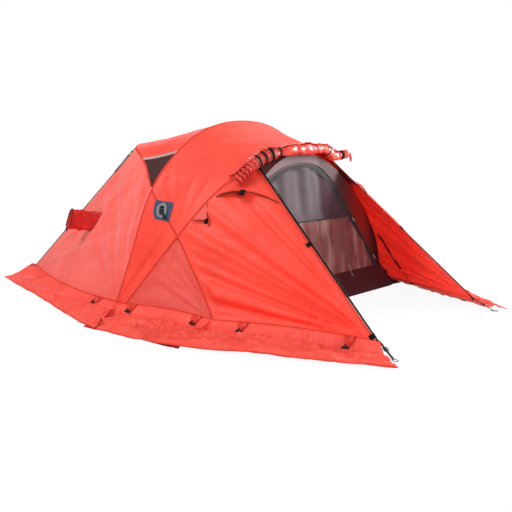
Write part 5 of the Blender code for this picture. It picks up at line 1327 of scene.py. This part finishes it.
def add_inner_door():
    """Inner door's cloth and mesh with hanging folds, its zip, bindings, sliders and pull."""
    low = finer(door_rows(np.linspace(0.0, DOOR_SPLIT, 9)), 10, 12)
    y, s = low[..., 1], low[..., 2]
    hanging = (0.0120 * np.sin(y * 26.0 + 1.2 * np.sin(y * 7.0 + 1.0))
               + 0.0035 * np.sin(y * 61.0 + 2.0 + 2.0 * s) + 0.0020 * swell(y, s, 0.09, 74))
    cloth_piece("door_cloth", low, hanging * ramp(from_edges(low), 0.0, 0.06), DOOR, ["inner_front_wall"],
                "hung", body="inner_door", replaces="inner_door_cloth")
    top = door_radius(math.pi / 2.0) - 2.0 * TOUCH
    angle = np.linspace(math.asin(DOOR_SPLIT / top), math.radians(87.0), 10)
    high = finer(door_rows(top * np.sin(angle)), 12, 10)
    y = high[..., 1]
    hanging = 0.0065 * np.sin(y * 24.0 + 1.2 * np.sin(y * 7.0 + 1.0)) + 0.0030 * np.sin(y * 57.0 + 2.0)
    cloth_piece("door_net", high, hanging * ramp(from_edges(high), 0.0, 0.06), NET, ["inner_front_wall"],
                "hung", body="inner_door", replaces="inner_door_mesh")
    line, outer = arc_line(-0.0015)
    strip("door_binding", (line, -outer), BINDING, 0.016, lift=0.0012, body="inner_door")
    strip("wall_binding", arc_line(0.0015), BINDING, 0.016, lift=0.0012)
    line, outer = arc_line()
    teeth("door_coil", line + WALL_NORMAL * 0.0022, outer, np.broadcast_to(WALL_NORMAL, line.shape))
    tube("wall_piping", arc_line(0.025)[0] + WALL_NORMAL * 0.003, 0.0022, BINDING)
    strip("door_seam", border(low, "v1"), BINDING, 0.012, lift=0.0014, body="inner_door")
    for word, place in DOOR_SLIDERS:
        spot = door_leg(place, DOOR_SLIDER_BESIDE) + WALL_NORMAL * 0.001
        zip_slider("door_slider_metal_" + word, spot, unit(door_leg(1.0) - door_leg(0.0)), WALL_NORMAL,
                   "door_slider_" + word, "inner_door_slider_" + word, CORD, 0.0024)
    pull = smooth_path(DOOR_PULL, 6)
    tube("door_pull_cord", pull, 0.0026, CORD)
    fitting("door_pull_end", pull[-1], np.eye(3), [((0.008, 0.010, 0.016), 0.8)], PLASTIC, 0.001)


def tub_ring(height, wall):
    """Outline of the tub at a height, its front corners a little wider than the solid's,
    with its sides divided and its corners softened."""
    corners = tub_loop(height, wall)
    corners[(0, -1), 1] += np.array([1.0, -1.0]) * TUB_FRONT_WIDER * height / TUB_HEIGHT
    path = np.concatenate([straight(a, b, 60)[:-1] for a, b in zip(corners, np.roll(corners, -1, 0))])
    for _ in range(4):
        path = (np.roll(path, 1, 0) + 2.0 * path + np.roll(path, -1, 0)) / 4.0
    return path


def add_tub():
    """Waterproof tub: walls turned up all round, and its floor."""
    heights = np.linspace(0.0, 1.0, 8)
    level = np.append(heights, heights[::-1])
    rings = np.stack([tub_ring(TUB_HEIGHT * up, TUB_SHEET * (number > 7))
                      for number, up in enumerate(level)], axis=1)
    rings[:, -1, 2] = TUB_SHEET
    run = np.linspace(0.0, 60.0, len(rings))[:, None]
    wave = (0.0022 * np.sin(run * 2.1 + 3.0 * level) * np.sin(level * math.pi)
            + 0.0015 * np.sin(run * 5.3) * level * (1.0 - level) * 4.0)
    away = unit(rings[:, 0] - rings.mean(axis=(0, 1))) * (1.0, 1.0, 0.0)
    skin("tub_walls", rings + away[:, None] * wave[..., None], TUB, True, replaces="floor_tub")
    loop = tub_loop(0.0, TUB_SHEET + 0.012)
    half = np.concatenate([straight(loop[0], loop[1], 10), straight(loop[1], loop[2], 12)[1:]])
    rows = half[:, None] * np.stack([np.ones(25), np.linspace(-1.0, 1.0, 25), np.zeros(25)], axis=-1)
    cloth_piece("tub_floor", rows + (0.0, 0.0, 0.0012), 0.0, TUB, ["floor"], "laid")


# Skirts


def skirt_surface(hem, start, end, seed, flaps=(None, None), raised=(0.0, 0.0)):
    """Snow skirt: it drops from the hem in small gathers and lies out on the ground in
    long low wrinkles. A flap at its start or end is the tip of a corner that laps over
    the next skirt, and a raised end slopes down from its peg more gently."""
    top = finer(np.asarray(hem, float), 44)
    edge = straight(start, end, len(top) - 1)
    for turn, tip in zip((-1, 1), flaps):
        if tip is not None:
            top, edge = top[::turn], edge[::turn]
            share = np.linspace(1.0, 0.0, FLAP_ROWS, endpoint=False)[::-1, None]
            top = np.concatenate([top, top[-1] + unit(top[-1] - top[-2]) * 0.012 * share])[::turn]
            edge = np.concatenate([edge, edge[-1] + (tip - edge[-1]) * share])[::turn]
    level = np.linspace(0.0, 1.0, 31) ** 1.25
    rows = top[:, None] + (edge - top)[:, None] * level[:, None]
    across = level * np.linalg.norm((edge - top)[:, :2], axis=1)[:, None]
    run = run_of(edge)[:, None]

    def at_pegs(width):
        return raised[0] * bell(run, width) + raised[1] * bell(run[-1] - run, width)

    uneven = 0.45 + 0.55 * np.sin(run * 4.3 + seed) ** 2
    fine = np.sin(run * 290.0 + 7.0 * np.sin(run * 17.0 + seed)) * (0.5 + 0.5 * np.sin(run * 23.0 + seed))
    broad = np.sin(run * 88.0 + 5.0 * np.sin(run * 9.0 + seed)) * (0.5 + 0.5 * np.sin(run * 13.0 + seed))
    broad = broad + 0.7 * np.sin(run * 43.0 + 3.0 * np.sin(run * 7.0) + 2.0 * level)
    gather = 0.55 * fine * (1.0 - ramp(across, 0.03, 0.10)) + broad * ramp(across, 0.01, 0.05)
    hung = ramp(across, 0.0, 0.012) * (1.0 - ramp(across, 0.08, 0.24))
    lying = (0.020 * creases(run * 0.55 + 0.5 * across, across * 0.7, 0.20, seed)
             + 0.012 * creases(run * 0.6 - 0.6 * across, across, 0.13, seed + 2)
             + 0.012 * np.clip(swell(run, across, 0.26, seed + 4), 0.0, None))
    lying = lying * ramp(across, 0.03, 0.13) * (1.0 - 0.80 * ramp(level, 0.86, 1.0))
    lying = lying * (1.0 - 0.8 * at_pegs(0.30))
    sewn = 0.003 * (1.0 - ramp(across, 0.0, 0.025))
    fall = top[:, 2:] * (1.0 - ramp(across, 0.0, SKIRT_DROP + PEG_DROP * at_pegs(0.14)))
    rows[..., 2] = np.maximum(fall + 0.0050 * gather * uneven * hung + lying + sewn, 0.0) + 0.0016
    out = unit((edge - top) * (1.0, 1.0, 0.0))[:, None]
    bend = (0.005 * np.sin(run * 5.5 + seed) + 0.0025 * np.sin(run * 19.0 + 1.0)) * ramp(level, 0.3, 1.0)
    rows = rows + out * (bend + sewn)[..., None]
    return np.concatenate([rows[:, :1] - out * 0.015 - (0.0, 0.0, 0.008), rows], axis=1)


def add_skirts():
    """Snow skirts along every hem; the rear and front ones lap over the middle one."""
    seed = 80
    for side, word in SIDES:
        back, middle, front, tip = [np.array((x, side * half, CLOTH / 2.0)) for x, half in
                                    (*SKIRT_CORNERS, SKIRT_TIP[side])]
        along, beside, hems = unit(front - middle), np.array([0.0, side * FLAP_OUT, 0.0]), HEMS[side]
        side_hem = np.vstack([mirrored(HOOP_LOW[:1], side), hems["side"]])
        for place, hem, start, end, flaps in (
                ("rear", hems["rear"][::-1], back, middle, (None, middle + along * 0.11 + beside)),
                ("side", side_hem, middle, front, (None, None)),
                ("front", hems["front"], front, tip, (front - along * 0.17 + beside, None))):
            seed += 1
            grid = skirt_surface(hem, start, end, seed, flaps, (float(place == "rear"), 0.0))
            if place != "side":
                grid[..., 2] += 0.012 * ramp(np.linalg.norm(grid - grid[:, :1], axis=2), 0.03, 0.12)
            cloth_piece(f"skirt_cloth_{place}_{word}", grid, 0.0, SKIRT, [f"fly_{place}_{word}"], "hung",
                        replaces=f"skirt_{place}_{word}")
            strip(f"skirt_hem_{place}_{word}", border(grid, "v1"), HEM, lift=0.0012, slot="skirt_fabric")
    far, near = [(SKIRT_REAR_X, side * REAR_PEG[1], CLOTH / 2.0) for side in (FAR, NEAR)]
    grid = skirt_surface(DOOR_HEM, far, near, 90, raised=(1.0, 1.0))
    cloth_piece("skirt_cloth_rear_door", grid, 0.0, SKIRT, ["fly_rear_door"], "hung",
                replaces="skirt_rear_door")


# Vents


def under_brow(grid, s, t):
    """Places on a front panel below the brow arch, s along it and t down from it."""
    return sampled(grid, HOOD_START + (HOOD_END - HOOD_START) * s,
                   HOOD_ROOT - t * (HOOD_ROOT_DROP + HOOD_DROP * s ** HOOD_CURVE))


def add_hood(side, word):
    """Hood over the brow vent: stiffened lip, edge piping, tab, and the net under it, coloured deep red as
    painted shade under the lip.
    """
    front = PANELS[side]["front"]
    s, t = np.linspace(0.0, 1.0, 9)[:, None], np.linspace(0.0, 1.0, 5)
    grid = under_brow(front, s, t)
    rise = CLOTH + HOOD_SEAT[side] + HOOD_RISE * t ** 1.2 * np.sin(math.pi * s) ** 0.8
    grid = finer(grid + normals_of(grid) * rise[..., None], 14, 12)
    relief = soft(grid, 0.0016, 0.08, 95, 0.03) + puckers(grid, 0.018, 0.0008, 0.012, 96)
    cloth_piece("hood_cloth_" + word, grid, relief, FLY, ["brow_pole"], replaces="brow_hood_" + word)
    lip, inner = border(grid, "v1")
    tube("hood_lip_" + word, lip, 0.0028, PIPING, 8)
    strip("hood_hem_" + word, (lip, inner), HEM, 0.016, lift=0.0012)
    # The net is deep red and nearly opaque: a vent net and painted shade under the lip.
    net = under_brow(finer(front), np.linspace(0.06, 0.94, 60)[:, None], 0.80 * np.linspace(0.0, 1.0, 16))
    cloth_piece("hood_net_and_shade_" + word, net + normals_of(net) * 0.0030, 0.0, HOOD_NET_AND_SHADE, ["fly_front_" + word])
    middle = len(lip) // 2
    spot, run = lip[middle], unit(lip[middle + 2] - lip[middle - 2])
    away = outward(spot)
    down = unit(np.cross(run, away))
    down = down * np.sign(-down[2])
    fitting("hood_tab_" + word, spot + away * 0.002 + down * 0.008, [run, down, np.cross(run, down)],
            [((0.036, 0.040, 0.004), 0.96)], WEBBING, 0.001)


def snorkel_rings(shrink, shares):
    """Rings of the snorkel, from its root on the rear panel out to its mouth."""
    panel = PANELS[NEAR]["rear"]
    turn = np.linspace(0.0, 2.0 * math.pi, 56, endpoint=False)
    u, v = [middle + (half - shrink) / np.linalg.norm(first - last) * np.sign(wave) * np.abs(wave) ** 0.7
            for middle, half, first, last, wave in (
                (SNORKEL_AT[0], SNORKEL_HALF_WIDTH, panel[0, 0], panel[-1, 0], np.cos(turn)),
                (SNORKEL_AT[1], SNORKEL_HALF_HEIGHT, panel[-1, 0], panel[-1, -1], np.sin(turn)))]
    root = sampled(finer(panel, 6), u, v) + outward(panel[4, 3]) * CLOTH
    centre = root.mean(axis=0)
    reach = unit(SNORKEL_AIM) * (SNORKEL_LENGTH + SNORKEL_RAKE * (root - centre)[:, 2:])
    rings = []
    for share in shares:
        bulge = math.sin(math.pi * share)
        ripple = 1.0 + (0.080 * np.sin(turn * 8.0 + 7.0 * share) + 0.060 * np.sin(turn * 3.0 + 15.0 * share)
                        + 0.045 * np.sin(turn * 15.0 - 9.0 * share)) * (bulge + 0.25 * share)
        wide = (1.0 - 0.06 * bulge + 0.04 * share) * ripple
        rings.append(centre + (root - centre) * wide[:, None] + reach * share)
    return np.array(rings)


def add_snorkel():
    """Rear vent: a cloth tube with bound mouth, root seam and toggle."""
    shares = np.linspace(0.0, 1.0, 26)
    rings = np.concatenate([snorkel_rings(0.0, shares), snorkel_rings(0.0016, shares[::-1])])
    skin("snorkel_cloth", rings, SNORKEL, True, replaces="snorkel_vent")
    mouth, root = snorkel_rings(0.0, [1.0])[0], snorkel_rings(-0.002, [0.02])[0]
    tube("snorkel_binding", np.vstack([mouth, mouth[:1]]), 0.0030, PIPING, 8, slot="webbing")
    tube("snorkel_seam", np.vstack([root, root[:1]]), 0.0020, PIPING, 8, slot="webbing")
    fitting("snorkel_toggle", mouth[np.argmin(mouth[:, 2])] + (0.0, 0.0, -0.010), np.eye(3)[::-1],
            [((0.018, 0.013, 0.011), 0.8), ((0.006, 0.009, 0.008), 0.8, (0.011, 0.0, 0.0))], PLASTIC, 0.0015)


# Rolled-up door


def roll_scale(share):
    """Width of the roll along it: drawn in at its ends and at its ties."""
    wide = 1.0 - 0.14 * ramp(share, 0.92, 1.0) - 0.12 * bell(share - 0.10, 0.05) + 0.16 * bell(share, 0.02)
    wide = wide + 0.20 * ramp(share, 0.03, 0.10) * (1.0 - ramp(share, 0.28, 0.34))
    return wide - sum(depth * 0.55 * bell(share - place, width) for place, width, depth in ROLL_PINCHES)


def roll_places(count):
    """Stations of the roll: shares, centres and two cross directions."""
    share = np.linspace(0.0, 1.0, count)
    path = ROLL_AT(ROLL_KNOTS[-1] * share)
    return share, path, *path_frames(path, outward(path))


def roll_surface(radius, turn):
    """Rings of the roll with its bunched near part and soft dents in its middle."""
    share, path, first, second = roll_places(240)
    share = share[:, None]
    bunched, run = 1.0 - ramp(share, 0.30, 0.38), share * ROLL_RUN
    x, y = run + 0.030 * np.cos(turn), 0.045 * np.sin(turn)
    pleat = 2.0 * np.abs((run + 0.003 * np.sin(2.0 * turn + 25.0 * run)) / ROLL_PLEAT % 1.0 - 0.5) - 0.5
    ripple = 0.42 * pleat * (0.75 + 0.4 * np.sin(turn + 9.0 * run)) - 0.10 * creases(x, y, 0.05, 7)
    dents = 0.20 * creases(x * 0.45, y + 0.25 * x, 0.085, 3) + 0.10 * swell(x * 0.7, y, 0.15, 5) - 0.08
    r = radius * roll_scale(share) * (1.0 + ripple * bunched + dents * (1.0 - bunched))
    a, b = (r * np.cos(turn))[..., None], (r * np.sin(turn))[..., None]
    return path[:, None] + first[:, None] * a + second[:, None] * b


def add_roll():
    """Front door rolled up: thin cloth in a spiral, its bands, ties and loose tail."""
    turn = np.linspace(0.0, 2.0 * math.pi * ROLL_TURNS, ROLL_TURNS * 26 + 1)
    outer = ROLL_RADIUS - ROLL_SHEET / 2.0
    middle = ROLL_CORE + (outer - ROLL_CORE) / ROLL_TURNS * turn / (2.0 * math.pi)
    radius = np.append(middle + ROLL_SHEET / 2.0, (middle - ROLL_SHEET / 2.0)[::-1])
    piece = skin("rolled_cloth", roll_surface(radius, np.append(turn, turn[::-1])), ROLL, sharp=70.0,
                 replaces="rolled_door")
    length = float(run_of(roll_places(60)[1])[-1])
    path, first, second = roll_places(241)[1:]
    section = ((-1.0, 0.0), (-1.0, 0.0016), (1.0, 0.0016), (1.0, 0.0))
    for name, place, width, node in ROLL_BANDS:
        i = int(round(place * 240))
        radial = circle(1.0, 40)
        radial = first[i] * radial[:, 1:] + second[i] * radial[:, :1]
        loop = path[i] + radial * ROLL_RADIUS * float(roll_scale(place)) * 1.045
        along = unit(path[i + 1] - path[i - 1]) * width
        ring = np.stack([loop + along * a + radial * b for a, b in section], axis=1)
        skin("roll_band_" + name, ring, WEBBING, True, replaces=node)
    end, out = path[-1], unit(path[-1] - path[-5])
    tail = smooth_path([end - out * 0.010, end + out * 0.022 + (0.0, 0.0, -0.004),
                        end + out * 0.036 + (0.0, 0.0, -0.030), end + out * 0.034 + (0.006, 0.0, -0.062)], 10)
    wide = np.interp(np.linspace(0.0, 1.0, len(tail)), (0.0, 0.3, 0.75, 1.0), (1.0, 0.7, 0.75, 0.4))
    spin = np.linspace(0.0, 2.0 * math.pi, 16, endpoint=False)
    profile = np.stack([0.016 * np.sin(spin) * (1.0 + 0.2 * np.sin(3.0 * spin)),
                        0.009 * np.cos(spin) * (1.0 + 0.25 * np.cos(5.0 * spin))], -1)
    skin("roll_tail", carried(tail, (1.0, 0.2, 0.3), profile, wide), ROLL)


# Straps, toggles and tabs


def add_peg_strap(place, word, corner, run):
    """Webbing strap from a lower corner, with a ladder-lock buckle and a peg loop."""
    across = np.array([-run[1], run[0], 0.0])
    start, end = corner + run * STRAP_START, corner + run * STRAP_LENGTH
    end[2] = 0.004
    points = [corner - run * 0.030 + (0.0, 0.0, 0.004), start + (0.0, 0.0, 0.0015), (start + end) / 2.0, end]
    strap(f"peg_strap_cloth_{place}_{word}", points, 0.014, (0.0, 0.0, 1.0),
          replaces=f"{place}_peg_strap_{word}")
    slope = unit(end - start)
    bars = [((0.028, 0.003, 0.005), 0.8, (0.0, side * 0.0125, 0.0)) for side in (-1, 1)]
    bars += [((0.0036, 0.024, 0.004), 0.8, (x, 0.0, z))
             for x, z in ((-0.012, 0.0), (0.0, 0.0015), (0.012, 0.0))]
    fitting(f"peg_buckle_{place}_{word}", start + (end - start) * 0.42 + (0.0, 0.0, 0.003),
            np.array([slope, across, np.cross(slope, across)]), bars, PLASTIC, 0.0008)
    loop = smooth_path([end + run * x + across * y for x, y in (
        (-0.012, -0.004), (0.010, -0.013), (0.028, 0.0), (0.010, 0.013), (-0.012, 0.004))], 6)
    loop[:, 2] = 0.004
    tube(f"peg_loop_{place}_{word}", loop, 0.0017, ELASTIC, 8)


def add_peg_straps():
    """Webbing straps from the four lower corners."""
    for side, word in SIDES:
        add_peg_strap("front", word, np.array(FRONT_PEG[side]), unit((1.0, side * 0.35, 0.0)))
        add_peg_strap("rear", word, mirrored(REAR_PEG, side), unit((-1.0, side * 0.35, 0.0)))


def hem_toggle(name, spot, along, away):
    """Toggle at a hem: a V of red cloth tape, and the bar across its end."""
    end = spot + away * 0.060
    end[2] = 0.026
    for leg, offset in (("a", -0.026), ("b", 0.026)):
        start = spot + along * offset + away * 0.004 + (0.0, 0.0, 0.012)
        path = [start, start * 0.45 + end * 0.55 + (0.0, 0.0, 0.020), end + along * offset * 0.15]
        strap(f"{name}_{leg}", path, 0.017, (0.0, 0.0, 1.0), 5, 0.0012, HEM)
    fitting(name + "_bar", end, [along, away, (0.0, 0.0, 1.0)],
            [((0.046, 0.012, 0.012), 0.75), ((0.015, 0.014, 0.013), 0.8, (0.0, -0.004, 0.008))],
            PLASTIC, 0.002)


def add_toggles():
    """Toggles along every hem, where the skirt is tied down."""
    for side, word in SIDES:
        for number, (place, share) in enumerate(TOGGLES):
            line = finer(HEMS[side][place], 10)
            last = len(line) - 1
            i = int(share * last)
            along = unit((line[min(i + 1, last)] - line[i - 1]) * (1.0, 1.0, 0.0))
            away = np.array([along[1], -along[0], 0.0]) * np.sign(-side * along[0])
            hem_toggle(f"hem_toggle_{number}_{word}", line[i], along, away)


def add_gusset(side, word):
    """Small triangular reinforcement below the brow seam, with a webbing tab."""
    top, low, out = np.array(GUSSET)
    a, b = np.linspace(0.0, 1.0, 25)[:, None], np.linspace(0.02, 1.0, 25)
    place = top + (low - top) * (b * (1.0 - a))[..., None] + (out - top) * (b * a)[..., None]
    cloth = sampled(finer(PANELS[side]["front"]), place[..., 0], place[..., 1])
    cloth = cloth + normals_of(cloth) * (0.0045 + 0.040 * a * (1.0 - a) * b * (1.0 - b))[..., None]
    sheet_piece("gusset_" + word, cloth, 0.0, FLY_SIDE_PAINTED_SHADE)
    spot = cloth[-1, -1]
    run, normal = unit(spot - cloth[-1, -4]), outward(spot)
    fitting("gusset_tab_" + word, spot + normal * 0.004 + run * 0.008, frame_of(run, normal),
            [((0.034, 0.026, 0.006), 0.95)], WEBBING, 0.0012)
    for name, line in (("edge", cloth[-1, (0, 12, -1)]), ("foot", cloth[(0, 12, -1), -1])):
        tube(f"gusset_{name}_{word}", smooth_path(line + normal * 0.0012, 6), 0.0012, PIPING, 6)


def add_storm_strap():
    """Storm line's strap inside the far porch panel, and its end with the T bar."""
    line = sampled(finer(PANELS[FAR]["front"]), *np.transpose(STORM_STRAP))
    strap("storm_strap", line - outward(line) * 0.012, 0.012, STORM_FACE)
    strap("storm_strap_end", STORM_END, 0.014, STORM_FACE, finish=HEM)
    fitting("storm_bar", STORM_END[-1], [(0.66, 0.75, 0.0), (-0.75, 0.66, 0.0), (0.0, 0.0, 1.0)],
            [((0.046, 0.010, 0.010), 0.75), ((0.014, 0.012, 0.010), 0.8, (0.0, -0.006, 0.004))],
            PLASTIC, 0.002)


def add_corner_flap():
    """Far corner of the tub's cloth, drawn out to the long pole's foot."""
    foot, top, far_foot, far_top = np.array(TUB_CORNER)
    a, b = np.linspace(0.0, 1.0, 13)[:, None, None], np.linspace(0.0, 1.0, 13)[:, None]
    grid = (foot * (1.0 - a) + far_foot * a) * (1.0 - b) + (top * (1.0 - a) + far_top * a) * b
    sheet_piece("tub_corner", grid, 0.004 * np.sin(9.0 * b[:, 0] + 3.0 * a[..., 0]), TUB)


def add_zip_tabs(side, word):
    """Small webbing tabs beside the porch zip."""
    line, inner = border(finer(PANELS[side]["front"]), "u1")
    run = unit(line[-1] - line[0])
    for number, share in enumerate((0.03, 0.49)):
        i = int(share * (len(line) - 1))
        spot = line[i] + inner[i] * 0.020
        normal = outward(spot)
        fitting(f"zip_tab_{number}_{word}", spot + normal * 0.0026, frame_of(run, normal),
                [((0.030, 0.034, 0.003), 0.97)], WEBBING, 0.0008)


# Kept solids, floor and light


def refinish(node, material):
    """Give a node of the frame a better material."""
    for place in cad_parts[node].material_slots:
        place.material = material


def add_floor():
    """Pale floor, which the camera sees white but for the tent's own soft shadow."""
    made = Finish("floor")
    seen = made.node("LightPath", "Is Camera Ray") + made.node("LightPath", "Is Glossy Ray")
    away = made.node("VectorMath", "Value", {0: made.place}, operation="LENGTH")
    glow = made.node("Emission", 0, {"Color": (1.0, 1.0, 1.0), "Strength": 1.0})
    made.mix_in(seen * away.ramp(1.6, 4.5, 0.92, 1.0), glow)
    made.set(Base_Color=made.blend(made.noise(0.8), (0.84, 0.84, 0.84), (0.88, 0.88, 0.88)), Roughness=0.9)
    corners = [(-40.0, -40.0, 0.0), (40.0, -40.0, 0.0), (40.0, 40.0, 0.0), (-40.0, 40.0, 0.0)]
    put_mesh("floor", corners, [(0, 1, 2, 3)], made.material, turn=False, body=None)


def add_light():
    """Soft key from the upper left, fills, and a world that the camera sees white."""
    scene = bpy.context.scene
    scene.view_settings.view_transform = "Standard"
    for name, place, aim, size, power in (("key", (-2.6, -4.6, 5.0), (0.0, 0.0, 0.5), 2.0, 290.0),
                                          ("above", (0.5, -1.5, 6.0), (0.2, 0.0, 0.5), 2.0, 82.0),
                                          ("fill", (5.5, -4.5, 2.0), (0.6, 0.4, 0.5), 3.0, 150.0),
                                          ("back", (-5.0, 4.0, 4.5), (0.0, 0.0, 0.5), 4.0, 120.0),
                                          ("beyond", (3.0, 5.0, 2.5), (0.6, 0.6, 0.4), 3.0, 640.0)):
        data = bpy.data.lights.new(name, "AREA")
        data.energy, data.size = power, size
        lamp = bpy.data.objects.new(name, data)
        lamp.location = place
        x, y, z = np.subtract(aim, place)
        lamp.rotation_euler = (math.atan2(math.hypot(x, y), -z), 0.0, math.atan2(y, x) - math.pi / 2.0)
        scene.collection.objects.link(lamp)
    scene.world = world = bpy.data.worlds.new("studio")
    world.use_nodes = True
    nodes, links = world.node_tree.nodes, world.node_tree.links
    rays, strength = nodes.new("ShaderNodeLightPath"), nodes.new("ShaderNodeMapRange")
    strength.inputs["To Min"].default_value, strength.inputs["To Max"].default_value = 0.28, 1.0
    links.new(rays.outputs["Is Camera Ray"], strength.inputs["Value"])
    nodes["Background"].inputs["Color"].default_value = (1.0, 1.0, 1.0, 1.0)
    links.new(strength.outputs[0], nodes["Background"].inputs["Strength"])


for side, word in SIDES:
    add_guyline(side, word)
add_fly()
add_seams()
add_zips()
add_walls()
add_inner_door()
add_tub()
add_skirts()
for side, word in SIDES:
    add_hood(side, word)
add_snorkel()
add_roll()
add_peg_straps()
add_toggles()
add_storm_strap()
add_corner_flap()
for side, word in SIDES:
    add_gusset(side, word)
    add_zip_tabs(side, word)
for pole in ("hoop", "brow", "long"):
    refinish(pole + "_pole", ALLOY)
    refinish(pole + "_cord_and_tips", STEEL)
for side, word in SIDES:
    refinish("middle_foot_tab_" + word, WEBBING)
    refinish("front_foot_tab_" + word, WEBBING)
add_floor()
add_light()
